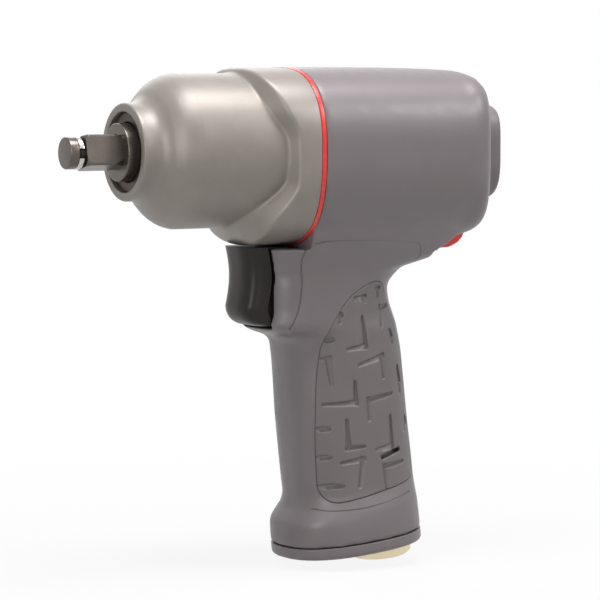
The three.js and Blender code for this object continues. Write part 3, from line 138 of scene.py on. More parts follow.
# Each point: forward, down the handle
PANEL_SHARE = np.array([
    [-0.3, 0.128], [0.04, 0.153], [0.32, 0.204], [0.59, 0.294], [0.69, 0.379], [0.755, 0.496],
    [0.805, 0.634], [0.82, 0.75], [0.81, 0.812], [0.66, 0.851], [0.27, 0.846], [-0.15, 0.835],
    [-0.62, 0.821], [-0.8, 0.8], [-0.82, 0.75], [-0.83, 0.62], [-0.82, 0.435], [-0.72, 0.306],
    [-0.62, 0.2], [-0.5, 0.141],
])

# Hammer case
NOSE_RADIUS = 15
NOSE_RIM = 0.9
NOSE_LAND = 2.75
NOSE_BORE = 12.3
BARREL_RADIUS = 23.8
CAVITY_RADIUS = 20.8
SHOULDER_LENGTH = 13.4
FRONT_WALL = 17.65
SHOULDER_SHARE = np.array([
    [0, 0], [0.1, 0.02], [0.2, 0.09], [0.3, 0.22], [0.44, 0.49], [0.64, 0.77], [0.85, 0.94], [1, 1],
])
# Edges of the case's bevel: height in barrel radii, then reach ahead of the case's rear in case lengths
CASE_LENGTH = NOSE_X - CASE_REAR_X
BEVEL_INNER = np.array([
    [-1, 0.4], [-0.88, 0.372], [-0.71, 0.305], [-0.46, 0.199], [-0.35, 0.175], [-0.13, 0.176],
    [0.16, 0.182], [0.27, 0.199], [0.5, 0.266], [0.68, 0.299], [0.87, 0.312], [1, 0.316],
]) * [BARREL_RADIUS, CASE_LENGTH]
BEVEL_OUTER = np.array([
    [-1.24, 0.262], [-1.08, 0.278], [-0.84, 0.24], [-0.61, 0.178], [-0.48, 0.145], [-0.35, 0.136],
    [0.16, 0.137], [0.29, 0.149], [0.51, 0.195], [0.79, 0.24], [1.09, 0.3],
]) * [BARREL_RADIUS, CASE_LENGTH]

# Voxel sizes of the moulded pieces
HOUSING_BLEND_VOXEL = 0.8
HOUSING_VOXEL = 0.47
PANEL_VOXEL = 0.24
LEVER_VOXEL = 0.22

# Points round an outline, and from each point of a curve to the next
CURVE_STEPS = 6
ROUND = 128
FINE_ROUND = 192
HANDLE_ROUND = 96
INLET_ROUND = 64
SMALL_ROUND = 48
HOLE_ROUND = 32


def smooth_steps(points, at):
    """Values of a monotone cubic through [place, value...] rows, at the given places."""
    places = points[:, 0]
    values = points[:, 1:]
    span = np.diff(places)[:, None]
    slope = np.diff(values, axis=0) / span
    tangent = np.zeros_like(values)
    before, after = slope[:-1], slope[1:]
    same = before * after > 0
    weight_a = 2 * span[1:] + span[:-1]
    weight_b = span[1:] + 2 * span[:-1]
    with np.errstate(divide="ignore", invalid="ignore"):
        mean = (weight_a + weight_b) / (weight_a / before + weight_b / after)
    tangent[1:-1] = np.where(same, mean, 0)
    tangent[0] = slope[0]
    tangent[-1] = slope[-1]
    at = np.clip(np.asarray(at, float), places[0], places[-1])
    k = np.clip(np.searchsorted(places, at, side="right") - 1, 0, len(places) - 2)
    h = span[k]
    t = ((at - places[k])[:, None]) / h
    return (
        (2 * t**3 - 3 * t**2 + 1) * values[k] + (t**3 - 2 * t**2 + t) * h * tangent[k]
        + (3 * t**2 - 2 * t**3) * values[k + 1] + (t**3 - t**2) * h * tangent[k + 1]
    )


def smooth_curve(points, closed):
    """Catmull-Rom curve through a row of points, which closes on itself or has two ends."""
    points = np.asarray(points, float)
    if closed:
        ends = np.concatenate([points[-1:], points, points[:2]])
    else:
        ends = np.concatenate([[2 * points[0] - points[1]], points, [2 * points[-1] - points[-2]]])
    rows = []
    for p0, p1, p2, p3 in zip(ends, ends[1:], ends[2:], ends[3:]):
        rows += [0.5 * (2 * p1 + (p2 - p0) * t + (2 * p0 - 5 * p1 + 4 * p2 - p3) * t**2
                        + (3 * p1 - p0 - 3 * p2 + p3) * t**3) for t in np.arange(CURVE_STEPS) / CURVE_STEPS]
    return np.array(rows if closed else [*rows, points[-1]])


def unit(rows):
    return rows / np.linalg.norm(rows, axis=-1, keepdims=True)


# Meshes
WELD = 1e-7
DEGENERATE = 1e-8
MOST_OF_EDGE = 0.48


def linked(name, data):
    """New object in the scene."""
    obj = bpy.data.objects.new(name, data)
    bpy.context.scene.collection.objects.link(obj)
    return obj


def mesh_object(name, points, faces):
    """Closed object from points in millimetres, with its faces turned outwards."""
    mesh = bpy.data.meshes.new(name)
    mesh.from_pydata((np.asarray(points, float) * MM).tolist(), [], faces)
    bm = bmesh.new()
    bm.from_mesh(mesh)
    bmesh.ops.remove_doubles(bm, verts=bm.verts, dist=WELD)
    bmesh.ops.dissolve_degenerate(bm, edges=bm.edges, dist=DEGENERATE)
    bmesh.ops.recalc_face_normals(bm, faces=bm.faces)
    if bm.calc_volume(signed=True) < 0:
        bmesh.ops.reverse_faces(bm, faces=bm.faces)
    bm.to_mesh(mesh)
    bm.free()
    return linked(name, mesh)


def loft(name, rings, ring_shaped=False):
    """Skin over rings with equal counts: closed on itself where ring_shaped, else with end faces."""
    rings = np.asarray(rings, float)
    rows, count = rings.shape[:2]
    faces = []
    for i in range(rows if ring_shaped else rows - 1):
        here, there = i * count, ((i + 1) % rows) * count
        for k in range(count):
            after = (k + 1) % count
            faces.append((here + k, here + after, there + after, there + k))
    if not ring_shaped:
        faces.append(tuple(range(count)))
        faces.append(tuple(range((rows - 1) * count, rows * count)))
    return mesh_object(name, rings.reshape(-1, 3), faces)


def rounded(corners, radii, steps=4):
    """Rows of rings, or of profile points, whose corners are rounded by the given radii."""
    corners = [np.asarray(c, float) for c in corners]
    rows = []
    for k, corner in enumerate(corners):
        radius = radii[k] if np.ndim(radii) else radii
        if k in (0, len(corners) - 1) or radius == 0:
            rows.append(corner)
            continue
        ends = []
        for other in (corners[k - 1], corners[k + 1]):
            run = other - corner
            length = np.linalg.norm(run, axis=-1, keepdims=True)
            ends.append(corner + run * np.minimum(radius / np.maximum(length, 1e-9), MOST_OF_EDGE))
        for t in np.linspace(0, 1, steps + 1):
            rows.append((1 - t) ** 2 * ends[0] + 2 * t * (1 - t) * corner + t**2 * ends[1])
    return rows


def turned(name, profile, radii=0.0, centre=(0, 0), count=ROUND, ring_shaped=False):
    """Profile of [x, radius] points, rounded at its corners and turned round a line along X."""
    angles = circle_angles(count)
    rings = [
        np.stack([np.full(count, x), centre[0] + r * np.cos(angles), centre[1] + r * np.sin(angles)], axis=1)
        for x, r in rounded(profile, radii)
    ]
    return loft(name, rings, ring_shaped)


def cylinder(name, start, end, radius, centre=(0, 0), count=ROUND):
    return turned(name, [[start, 0], [start, radius], [end, radius], [end, 0]], 0, centre, count)


def prism(name, outline, low, high, axis):
    """Closed outline of points in the two other axes, drawn along an axis from low to high."""
    outline = np.asarray(outline, float)
    return loft(name, [np.insert(outline, axis, value, axis=1) for value in (low, high)])


def baked(obj):
    """Applies what modifiers the object has."""
    graph = bpy.context.evaluated_depsgraph_get()
    mesh = bpy.data.meshes.new_from_object(obj.evaluated_get(graph))
    old = obj.data
    obj.modifiers.clear()
    obj.data = mesh
    mesh.name = obj.name
    bpy.data.meshes.remove(old)
    return obj


def combine(obj, others, operation):
    """Joins, cuts or crosses an object with others, which are used up."""
    for other in others:
        modifier = obj.modifiers.new("boolean", "BOOLEAN")
        modifier.operation = operation
        modifier.solver = "EXACT"
        modifier.object = other
    baked(obj)
    for other in others:
        mesh = other.data
        bpy.data.objects.remove(other)
        bpy.data.meshes.remove(mesh)
    return obj


def remeshed(obj, voxel):
    modifier = obj.modifiers.new("remesh", "REMESH")
    modifier.mode = "VOXEL"
    modifier.voxel_size = voxel * MM
    return baked(obj)


def relaxed(obj, rounds, weight=None):
    """Moves each vertex towards its neighbours, where weight(points in millimetres) says how far."""
    mesh = obj.data
    count = len(mesh.vertices)
    flat = np.empty(count * 3)
    mesh.vertices.foreach_get("co", flat)
    points = flat.reshape(-1, 3)
    ends = np.empty(len(mesh.edges) * 2, dtype=np.int64)
    mesh.edges.foreach_get("vertices", ends)
    a, b = ends.reshape(-1, 2).T
    valence = np.maximum(np.bincount(np.concatenate([a, b]), minlength=count), 1)[:, None]
    share = 0.5 if weight is None else 0.5 * weight(points / MM)[:, None]
    for _ in range(rounds):
        total = np.stack([
            np.bincount(a, points[b, axis], count) + np.bincount(b, points[a, axis], count)
            for axis in range(3)
        ], axis=1)
        points = points + share * (total / valence - points)
    mesh.vertices.foreach_set("co", points.ravel())
    mesh.update()
    return obj


# Shared outlines

def circle_angles(count=ROUND):
    return np.arange(count) * TURN / count


def polar_ring(x, radius, angles):
    """Ring of points round the drive axis."""
    return np.stack([
        np.broadcast_to(x, len(angles)), radius * np.cos(angles), radius * np.sin(angles),
    ], axis=1)


def round_ring(x, radius, count=ROUND):
    return polar_ring(x, radius, circle_angles(count))


def section_radius(angles, growth=0.0, side_share=1.0, height_share=1.0, square_share=1.0):
    """Radius of the superellipse that case, gasket and housing share, which reaches further down than up."""
    side = (SECTION_SIDE + growth) * side_share
    height = (np.where(np.sin(angles) > 0, SECTION_UP, SECTION_DOWN) + growth) * height_share
    exponent = SECTION_EXPONENT * square_share
    across = (np.abs(np.cos(angles)) / side) ** exponent
    upright = (np.abs(np.sin(angles)) / height) ** exponent
    return (across + upright) ** (-1 / exponent)


def section_ring(x, growth=0.0, shares=()):
    angles = circle_angles()
    return polar_ring(x, section_radius(angles, growth, *shares), angles)


def to_world(points):
    """From the handle's frame (forward, left, up the handle) to the frame of the tool."""
    u, v, w = np.asarray(points, float).T
    c, s = math.cos(HANDLE_LEAN), math.sin(HANDLE_LEAN)
    return np.stack([HANDLE_X + u * c + w * s, v, HANDLE_Z - u * s + w * c], axis=1)


def to_handle(points):
    x, y, z = np.asarray(points, float).T
    c, s = math.cos(HANDLE_LEAN), math.sin(HANDLE_LEAN)
    return np.stack([
        (x - HANDLE_X) * c - (z - HANDLE_Z) * s, y, (x - HANDLE_X) * s + (z - HANDLE_Z) * c,
    ], axis=1)


def signed_power(values, power):
    return np.sign(values) * np.abs(values) ** power


def handle_reaches(down):
    """Reach of the handle to its front, rear and side, and its front's squareness, at places down it."""
    shares = smooth_steps(HANDLE_SHARE, down)
    top_rear = HANDLE_SHARE[:, 2].max()
    web = (HANDLE_X - HOUSING_REAR_X - HANDLE_WEB_END - HANDLE_HALF_LENGTH) / (top_rear - 1)
    rear_share = shares[:, 1]
    rear = HANDLE_HALF_LENGTH + (rear_share - 1) * np.where(rear_share > 1, web, HANDLE_HALF_LENGTH)
    return shares[:, 0] * HANDLE_HALF_LENGTH, rear, shares[:, 2] * HANDLE_HALF_THICKNESS, shares[:, 3]


def handle_ring(reaches, inset, up, count=ROUND):
    """Outline with the given reaches, drawn in by an inset, at a height in the handle's frame."""
    front, rear, side, square = reaches
    angles = circle_angles(count)
    c, s = np.cos(angles), np.sin(angles)
    power = 2 / (HANDLE_EXPONENT * np.where(c > 0, square, 1))
    return to_world(np.stack([
        (front - rear) / 2 + ((front + rear) / 2 - inset) * signed_power(c, power),
        (side - inset) * signed_power(s, power),
        np.full(count, up),
    ], axis=1))


def skin_side(forward, up):
    """How far the handle's skin lies to the side of its middle plane, at points in the handle's frame."""
    front, rear, side, square = handle_reaches(-np.asarray(up, float) / HANDLE_DEPTH)
    off = (forward - (front - rear) / 2) / ((front + rear) / 2)
    exponent = HANDLE_EXPONENT * np.where(off > 0, square, 1)
    return side * (1 - np.clip(np.abs(off), 0, 0.999) ** exponent) ** (1 / exponent)


def handle_solid(name, inset=0.0, rows=150):
    downs = np.linspace(HANDLE_SHARE[0, 0], 1, rows)
    return loft(name, [
        handle_ring(reaches, inset, -down * HANDLE_DEPTH, HANDLE_ROUND)
        for down, reaches in zip(downs, zip(*handle_reaches(downs)))
    ])


def panel_outline(growth=0.0):
    """Outline of a grip panel in the handle's frame, moved outwards by a growth."""
    curve = smooth_curve(PANEL_SHARE * [HANDLE_HALF_LENGTH, -HANDLE_DEPTH], closed=True)
    run = unit(np.roll(curve, -1, axis=0) - np.roll(curve, 1, axis=0))
    return curve + growth * np.stack([-run[:, 1], run[:, 0]], axis=1)


def handle_prism(name, outline, low, high):
    """Outline of [forward, up the handle] points, drawn across the handle."""
    outline = np.asarray(outline, float)
    return loft(name, [to_world(np.insert(outline, 1, side, axis=1)) for side in (low, high)])


def handle_column(name, outline, start, end):
    """Outline of [forward, left] points, drawn along the handle."""
    return loft(name, [to_world([(u, v, w) for u, v in outline]) for w in (start, end)])


def inlet_ring(up, radius, angles):
    """Ring round the line of the air inlet, at a height in the handle's frame."""
    return to_world(np.stack([
        INLET_FORWARD + radius * np.cos(angles), radius * np.sin(angles), np.full(len(angles), up),
    ], axis=1))


def inlet_turned(name, profile, count=INLET_ROUND):
    """Profile of [up the handle, radius] points, turned round the line of the air inlet."""
    return loft(name, [inlet_ring(w, r, circle_angles(count)) for w, r in profile])


def arc(centre, radius, start, end, steps=12):
    """Points of an arc, with its angles in degrees."""
    angles = np.radians(np.linspace(start, end, steps + 1))
    return np.stack([centre[0] + radius * np.cos(angles), centre[1] + radius * np.sin(angles)], axis=1)


# Materials

def new_node(tree, kind, **inputs):
    """Node with some inputs set, where _ stands for the space in an input's name."""
    node = tree.nodes.new("ShaderNode" + kind)
    for name, value in inputs.items():
        node.inputs[name.replace("_", " ")].default_value = value
    return node


def cleared(owner):
    """Emptied node tree of a material or world."""
    owner.use_nodes = True
    owner.node_tree.nodes.clear()
    return owner.node_tree


def clear_material(name):
    material = bpy.data.materials.new(name)
    tree = cleared(material)
    shader = new_node(tree, "BsdfPrincipled")
    tree.links.new(shader.outputs["BSDF"], new_node(tree, "OutputMaterial").inputs["Surface"])
    return material, tree, shader


def noise(tree, scale, detail):
    """Noise in object space; scale is in features per metre."""
    texture = new_node(tree, "TexNoise", Scale=scale, Detail=detail)
    tree.links.new(new_node(tree, "TexCoord").outputs["Object"], texture.inputs["Vector"])
    return texture.outputs["Fac"]


def ramp(tree, source, low, high, start=0.3, end=0.7):
    node = new_node(tree, "MapRange", From_Min=start, From_Max=end, To_Min=low, To_Max=high)
    tree.links.new(source, node.inputs["Value"])
    return node.outputs["Result"]


def tinted(tree, source, dark, light):
    node = new_node(tree, "Mix")
    node.data_type = "RGBA"
    node.inputs["A"].default_value = (*dark, 1)
    node.inputs["B"].default_value = (*light, 1)
    tree.links.new(source, node.inputs["Factor"])
    return node.outputs["Result"]


def bumped(tree, shader, layers):
    """Adds bump layers of [height source, distance in millimetres, strength]."""
    normal = None
    for source, distance, strength in layers:
        node = new_node(tree, "Bump", Distance=distance * MM, Strength=strength)
        tree.links.new(source, node.inputs["Height"])
        if normal:
            tree.links.new(normal, node.inputs["Normal"])
        normal = node.outputs["Normal"]
    tree.links.new(normal, shader.inputs["Normal"])


def shade(color, factor):
    return tuple(min(1.0, channel * factor) for channel in color)


# Features per metre of the slow clouding and of rubbed patches, and what they change
MOULDED_CLOUDS = 90
METAL_CLOUDS = 140
RUBBED_PATCHES = 260
RUBBED_SPREAD = 0.05
DULL_SPREAD = 0.15
CLOUD_DEPTH = 0.05
CLOUD_STRENGTH = 0.15
MOULDED_GRIT = 0.6
METAL_GRIT = 0.5


def clouded(tree, shader, clouds, color, spread):
    """Base colour that goes a little darker and lighter with the clouds."""
    mixed = tinted(tree, ramp(tree, clouds, 0, 1), shade(color, 1 - spread), shade(color, 1 + spread))
    tree.links.new(mixed, shader.inputs["Base Color"])


def moulded(name, color, roughness, grain, depth, spread, level):
    """Moulded plastic or rubber: spark-eroded grain, faint clouding and rubbed patches."""
    material, tree, shader = clear_material(name)
    clouds = noise(tree, MOULDED_CLOUDS, detail=4)
    grit = noise(tree, 1 / (grain * MM), detail=2)
    clouded(tree, shader, clouds, color, spread)
    patches = noise(tree, RUBBED_PATCHES, detail=3)
    rubbed = ramp(tree, patches, roughness - RUBBED_SPREAD, roughness + RUBBED_SPREAD)
    tree.links.new(rubbed, shader.inputs["Roughness"])
    shader.inputs["Specular IOR Level"].default_value = level
    bumped(tree, shader, [(grit, depth, MOULDED_GRIT), (clouds, CLOUD_DEPTH, CLOUD_STRENGTH)])
    return material


def metal(name, color, roughness, grain, depth, spread, metallic):
    """Machined, blasted or polished metal: fine grain, and lighter and duller patches."""
    material, tree, shader = clear_material(name)
    clouds = noise(tree, METAL_CLOUDS, detail=4)
    grit = noise(tree, 1 / (grain * MM), detail=3)
    clouded(tree, shader, clouds, color, spread)
    dull = ramp(tree, grit, roughness * (1 - DULL_SPREAD), min(1.0, roughness * (1 + DULL_SPREAD)))
    tree.links.new(dull, shader.inputs["Roughness"])
    shader.inputs["Metallic"].default_value = metallic
    bumped(tree, shader, [(grit, depth, METAL_GRIT)])
    return material


# Each row: kind, colour, roughness, size and depth of the grain in millimetres, spread of the lightness,
# and last how strongly a moulding reflects, or how metallic a metal is
SURFACES = {
    "titanium_case": (metal, (0.215, 0.192, 0.172), 0.44, 0.22, 0.025, 0.05, 0.32),
    "housing_grey": (moulded, (0.145, 0.125, 0.13), 0.4, 0.4, 0.02, 0.03, 0.5),
    "grip_grey": (moulded, (0.13, 0.112, 0.115), 0.46, 0.3, 0.03, 0.04, 0.5),
    "signal_red": (moulded, (0.62, 0.03, 0.025), 0.28, 0.3, 0.01, 0.04, 0.5),
    "trigger_black": (moulded, (0.016, 0.013, 0.011), 0.32, 0.3, 0.02, 0.08, 0.22),
    "polished_steel": (metal, (0.5, 0.48, 0.46), 0.22, 0.3, 0.006, 0.06, 1),
    "tool_steel": (metal, (0.2, 0.185, 0.175), 0.32, 0.25, 0.01, 0.1, 1),
    "bronze": (metal, (0.07, 0.05, 0.038), 0.4, 0.3, 0.02, 0.12, 1),
    "cast_aluminium": (metal, (0.55, 0.55, 0.54), 0.4, 0.3, 0.02, 0.05, 1),
    "plated_hex": (metal, (0.72, 0.62, 0.42), 0.3, 0.3, 0.01, 0.05, 1),
    "black_rubber": (moulded, (0.02, 0.02, 0.02), 0.7, 0.3, 0.03, 0.1, 0.5),
    "vane_resin": (moulded, (0.2, 0.1, 0.04), 0.6, 0.3, 0.02, 0.15, 0.5),
    "felt": (moulded, (0.3, 0.3, 0.28), 0.95, 0.5, 0.2, 0.1, 0.5),
    "forged_steel": (metal, (0.115, 0.099, 0.087), 0.3, 0.25, 0.012, 0.12, 0.85),
}
MATERIALS = {name: make(name, *row) for name, (make, *row) in SURFACES.items()}

# Nodes whose material differs from what their slot says
NODE_MATERIALS = {"anvil": "forged_steel"}

BODY_OF = {
    node: body for body, nodes in frame["record"]["behaviour"]["bodies"].items() for node in nodes
}
SLOT_OF = {part["node"]: part["material_slot"] for part in frame["record"]["subparts"]}


def dress(obj, node, sharp=35):
    """Finishes a piece that stands for a CAD node: shading, the material of the node's slot, its body, and
    hiding the CAD node.
    """
    mesh = obj.data
    mesh.polygons.foreach_set("use_smooth", np.ones(len(mesh.polygons), dtype=bool))
    mesh.set_sharp_from_angle(angle=math.radians(sharp))
    mesh.update()
    slot = SLOT_OF[node]
    mesh.materials.clear()
    mesh.materials.append(MATERIALS[NODE_MATERIALS.get(node, slot)])
    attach(obj, BODY_OF[node])
    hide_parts(node)


for cad_node, cad_obj in frame["nodes"].items():
    cad_obj.data.materials.clear()
    cad_obj.data.materials.append(MATERIALS[SLOT_OF[cad_node]])


# Long screws, shared by case, gasket and housing
SCREWS = [f"housing_screw_{k}" for k in (1, 2, 3, 4)]
SCREW_RADIUS = 1.8
SCREW_TIP_X = limits(SCREWS[0])[1].x


def screw_middle(node):
    low, high = limits(node)
    return (low.y + high.y) / 2, (low.z + high.z) / 2


def screw_holes(start, end, radius):
    return [cylinder("screw_hole", start, end, radius, screw_middle(node), SMALL_ROUND) for node in SCREWS]


# Hammer case, bushing and gasket; edge radii stand in the order of a profile's corners
NOSE_EDGES = [0, 0.4, NOSE_RIM, 0]
BEVEL_EDGES = [0, 0.9, 1.1, 0.25, 0, 0]
SHOULDER_ROWS = 45
BUSHING_BORE = 9
BUSHING_EDGES = [0, 0.2, 0.7, 0.35, 0.2, 0]
GASKET_PROUD = 0.15
GASKET_EDGES = [0, 0, 0.55, 0.3, 0, 0]


def bevel_ring(reach, radius):
    """Edge of the bevel at a radius, from its reach ahead of the case's rear at each height."""
    angles = circle_angles()
    x = CASE_REAR_X + smooth_steps(reach, radius * np.sin(angles))[:, 0]
    return polar_ring(x, radius, angles)


def hammer_case():
    cavity_x = NOSE_X - FRONT_WALL
    shoulder_x = NOSE_X - NOSE_LAND
    rows = rounded([
        round_ring(cavity_x, NOSE_BORE), round_ring(NOSE_X, NOSE_BORE), round_ring(NOSE_X, NOSE_RADIUS),
        round_ring(NOSE_X - NOSE_RIM - NOSE_RIM, NOSE_RADIUS),
    ], NOSE_EDGES, steps=6)
    for along in np.linspace(0, 1, SHOULDER_ROWS):
        out = smooth_steps(SHOULDER_SHARE, [along])[0, 0]
        rows.append(round_ring(shoulder_x - along * SHOULDER_LENGTH,
                               NOSE_RADIUS + out * (BARREL_RADIUS - NOSE_RADIUS)))
    rows += rounded([
        rows[-1], bevel_ring(BEVEL_INNER, BARREL_RADIUS),
        bevel_ring(BEVEL_OUTER, section_radius(circle_angles())), section_ring(CASE_REAR_X),
        round_ring(CASE_REAR_X, CAVITY_RADIUS), round_ring(cavity_x, CAVITY_RADIUS),
    ], BEVEL_EDGES, steps=5)[1:]
    shell = loft("case_shell", rows, ring_shaped=True)
    holes = screw_holes(CASE_REAR_X - OVERRUN, SCREW_TIP_X, SCREW_RADIUS)
    dress(combine(shell, holes, "DIFFERENCE"), "hammer_case", sharp=50)


def anvil_bushing():
    low, high = limits("anvil_bushing")
    bore, outer = BUSHING_BORE, NOSE_BORE - SEAT_GAP
    middle = (bore + outer) / 2
    obj = turned("nose_bushing", [
        [low.x, middle], [low.x, bore], [high.x, bore], [high.x, outer], [low.x, outer],
        [low.x, middle + SEAT_GAP],
    ], BUSHING_EDGES, ring_shaped=True)
    dress(obj, "anvil_bushing")


def trim_gasket():
    low, high = GASKET_LOW.x, GASKET_HIGH.x
    rows = rounded([
        round_ring(high, HOUSING_BORE), section_ring(high), section_ring(high, GASKET_PROUD),
        section_ring(low, GASKET_PROUD), section_ring(low), round_ring(low, HOUSING_BORE),
    ], GASKET_EDGES, steps=5)
    band = loft("trim_band", rows, ring_shaped=True)
    holes = screw_holes(high + OVERRUN, low - OVERRUN, SCREW_RADIUS + LOOSE_GAP)
    dress(combine(band, holes, "DIFFERENCE"), "trim_gasket", sharp=50)


hammer_case()
anvil_bushing()
trim_gasket()

# Anvil and the ring that holds a socket
TIP_RADIUS = 4.9
TIP_LENGTH = 2.9
TIP_EDGES = [0, 0.55, 0.25, 0.1, 0]
GROOVE_LENGTH = 2.4
GROOVE_ROOT = 2.9
SQUARE_SIDE = 9.53
SQUARE_CORNER = 6.45
SQUARE_CHAMFER = 0.9
SQUARE_LENGTH = 9.9
SQUARE_TURN = math.radians(13.4)
SQUARE_EDGES = [0, 0.2, 0.5, 1.2, 0.8, 0]
NECK_RADIUS = 5.6
NECK_LENGTH = 2
COLLAR_RADIUS = 8.85
SHAFT_RADIUS = 6.5
SHAFT_EDGES = [0, 0.5, 0.3, 0, 0.3, 0]
JAW_HALF_WIDTH = 2.6
JAW_REACH = 8
RETAINER_INNER = 3.95
RETAINER_OUTER = 5
RETAINER_EDGES = [0, 0.4, 0.4, 0.2, 0.2, 0]
RETAINER_HALF_GAP = 18
RETAINER_ROWS = 90


def square_ring(x, limit, count):
    """Ring of the drive square at x, cut to a round limit."""
    angles = circle_angles(count)
    off_flat = (angles - SQUARE_TURN + math.pi / 4) % (math.pi / 2) - math.pi / 4
    return polar_ring(x, np.minimum(SQUARE_SIDE / 2 / np.cos(off_flat), limit), angles)


def anvil():
    rear_x = limits("anvil")[0].x
    square_front = -(TIP_LENGTH + GROOVE_LENGTH)
    square_rear = square_front - SQUARE_LENGTH
    collar_x = square_rear - NECK_LENGTH
    collar_end = limits("front_hammer")[1].x + LOOSE_GAP
    tip = rounded([
        [0, 0], [0, TIP_RADIUS], [-TIP_LENGTH, TIP_RADIUS], [-TIP_LENGTH, GROOVE_ROOT],
        [square_front, GROOVE_ROOT],
    ], TIP_EDGES, steps=5)
    square = rounded([
        [square_front, GROOVE_ROOT], [square_front, SQUARE_CORNER - SQUARE_CHAMFER],
        [square_front - SQUARE_CHAMFER, SQUARE_CORNER], [square_rear, SQUARE_CORNER],
        [collar_x, NECK_RADIUS], [collar_x - SEAT_GAP, NECK_RADIUS],
    ], SQUARE_EDGES, steps=6)
    shaft = rounded([
        [collar_x, NECK_RADIUS], [collar_x, COLLAR_RADIUS], [collar_end, COLLAR_RADIUS],
        [collar_end, SHAFT_RADIUS], [rear_x, SHAFT_RADIUS], [rear_x, 0],
    ], SHAFT_EDGES, steps=5)
    rings = [round_ring(x, r, FINE_ROUND) for x, r in tip]
    rings += [square_ring(x, r, FINE_ROUND) for x, r in square[1:]]
    rings += [round_ring(x, r, FINE_ROUND) for x, r in shaft[1:]]
    body = loft("drive_anvil", rings)
    jaws = []
    for hammer, reach in (("front_hammer", -JAW_REACH), ("rear_hammer", JAW_REACH)):
        back, front = limits(hammer)
        outline = [
            (-JAW_HALF_WIDTH, 0), (JAW_HALF_WIDTH, 0), (JAW_HALF_WIDTH, reach), (-JAW_HALF_WIDTH, reach),
        ]
        jaws.append(prism("jaw", outline, back.x, front.x, 0))
    dress(combine(body, jaws, "UNION"), "anvil", sharp=30)


def split_ring():
    low, high = limits("socket_retainer")
    inner, outer = RETAINER_INNER, RETAINER_OUTER
    middle = (inner + outer) / 2
    x, r = np.array(rounded([
        [low.x, middle], [low.x, outer], [high.x, outer], [high.x, inner], [low.x, inner],
        [low.x, middle - SEAT_GAP],
    ], RETAINER_EDGES)).T
    turns = np.radians(np.linspace(RETAINER_HALF_GAP, 360 - RETAINER_HALF_GAP, RETAINER_ROWS))
    rings = [np.stack([x, r * math.cos(turn), r * math.sin(turn)], axis=1) for turn in turns]
    dress(loft("socket_ring", rings), "socket_retainer", sharp=40)


anvil()
split_ring()

# Housing: barrel and handle in one moulding
BARREL_PLACES = np.concatenate([np.linspace(0, 0.9, 40), np.linspace(0.91, 1, 24)])
CHIN_CORNER = 6.7
TRIGGER_STROKE = 5
LEVER_SWING = 12
LEVER_HEAD_HALF = 8
LEVER_HEAD_INNER = 25.6
LEVER_SLACK = 3
LEVER_FLARE = 4
LEVER_REACH = -LEVER_LOW.z
LOWEST = -90
SCREW_POCKET_RADIUS = 3.4
SCREW_POCKET_DEPTH = 9
REAR_WALL = 3.6
BOSS_HALF_WIDTH = 13.3
BOSS_HALF_HEIGHT = 15.3
BOSS_DROP = 1.5
BOSS_TOP_EXPONENT = 4
BOSS_FOOT_EXPONENT = 3.1
PANEL_DEPTH = 1.7
PANEL_GAP = 0.16
CORE_ROWS = 90


def boss_ring(x, inset):
    """Square-cornered outline of the rear cover's boss."""
    angles = circle_angles()
    c, s = np.cos(angles), np.sin(angles)
    power = 2 / np.where(s > 0, BOSS_TOP_EXPONENT, BOSS_FOOT_EXPONENT)
    return np.stack([
        np.full(ROUND, x), (BOSS_HALF_WIDTH - inset) * signed_power(c, power),
        (BOSS_HALF_HEIGHT - inset) * signed_power(s, power) - BOSS_DROP,
    ], axis=1)


def barrel_solid():
    length = HOUSING_REAR_X - HOUSING_FRONT_X
    return loft("housing", [
        section_ring(HOUSING_FRONT_X + along * length, HOUSING_PROUD, shares)
        for along, shares in zip(BARREL_PLACES, smooth_steps(BARREL_SHARE, BARREL_PLACES))
    ])


def trigger_pocket():
    top = TRIGGER_HIGH.z + OVERRUN
    front, back = TRIGGER_HIGH.x, TRIGGER_LOW.x - TRIGGER_STROKE - STROKE_GAP
    bottom = TRIGGER_LOW.z - STROKE_GAP
    corner = arc((back + CHIN_CORNER, bottom + CHIN_CORNER), CHIN_CORNER, 180, 270)
    wide = TRIGGER_HIGH.y + LOOSE_GAP
    return prism("pocket", [(front, top), (back, top), *corner, (front, bottom)], -wide, wide, 1)


def case_clearance():
    """Room over the trigger, up to the underside of the hammer case."""
    low = -(SECTION_DOWN + STROKE_GAP)
    front = TRIGGER_HIGH.x + OVERRUN
    outline = [(HOUSING_FRONT_X, low), (front, low), (front, 0), (HOUSING_FRONT_X, 0)]
    return prism("clearance", outline, -BESIDE, BESIDE, 1)


def ring_segment(inner, outer, half):
    """Piece of a ring round the drive axis, to half degrees on each side of its lowest point."""
    return [*arc((0, 0), outer, LOWEST - half, LOWEST + half),
            *arc((0, 0), inner, LOWEST + half, LOWEST - half)]


def lever_recess():
    swing = LEVER_SWING + LEVER_HEAD_HALF + LEVER_SLACK
    front = VALVE_HIGH.x + LOOSE_GAP
    opening = ring_segment(LEVER_HEAD_INNER - STROKE_GAP, 2 * LEVER_REACH, swing + LEVER_FLARE)
    slot = ring_segment(HOUSING_BORE - OVERRUN, LEVER_HEAD_INNER, swing)
    return [prism("recess", opening, HOUSING_REAR_X - OVERRUN, front, 0),
            prism("recess", slot, VALVE_LOW.x - LOOSE_GAP, front, 0)]


def panel_pocket(way):
    cutter = handle_prism("panel_pocket", panel_outline(PANEL_GAP), 0, way * BESIDE)
    return combine(cutter, [handle_solid("core", PANEL_DEPTH + LOOSE_GAP, CORE_ROWS)], "DIFFERENCE")


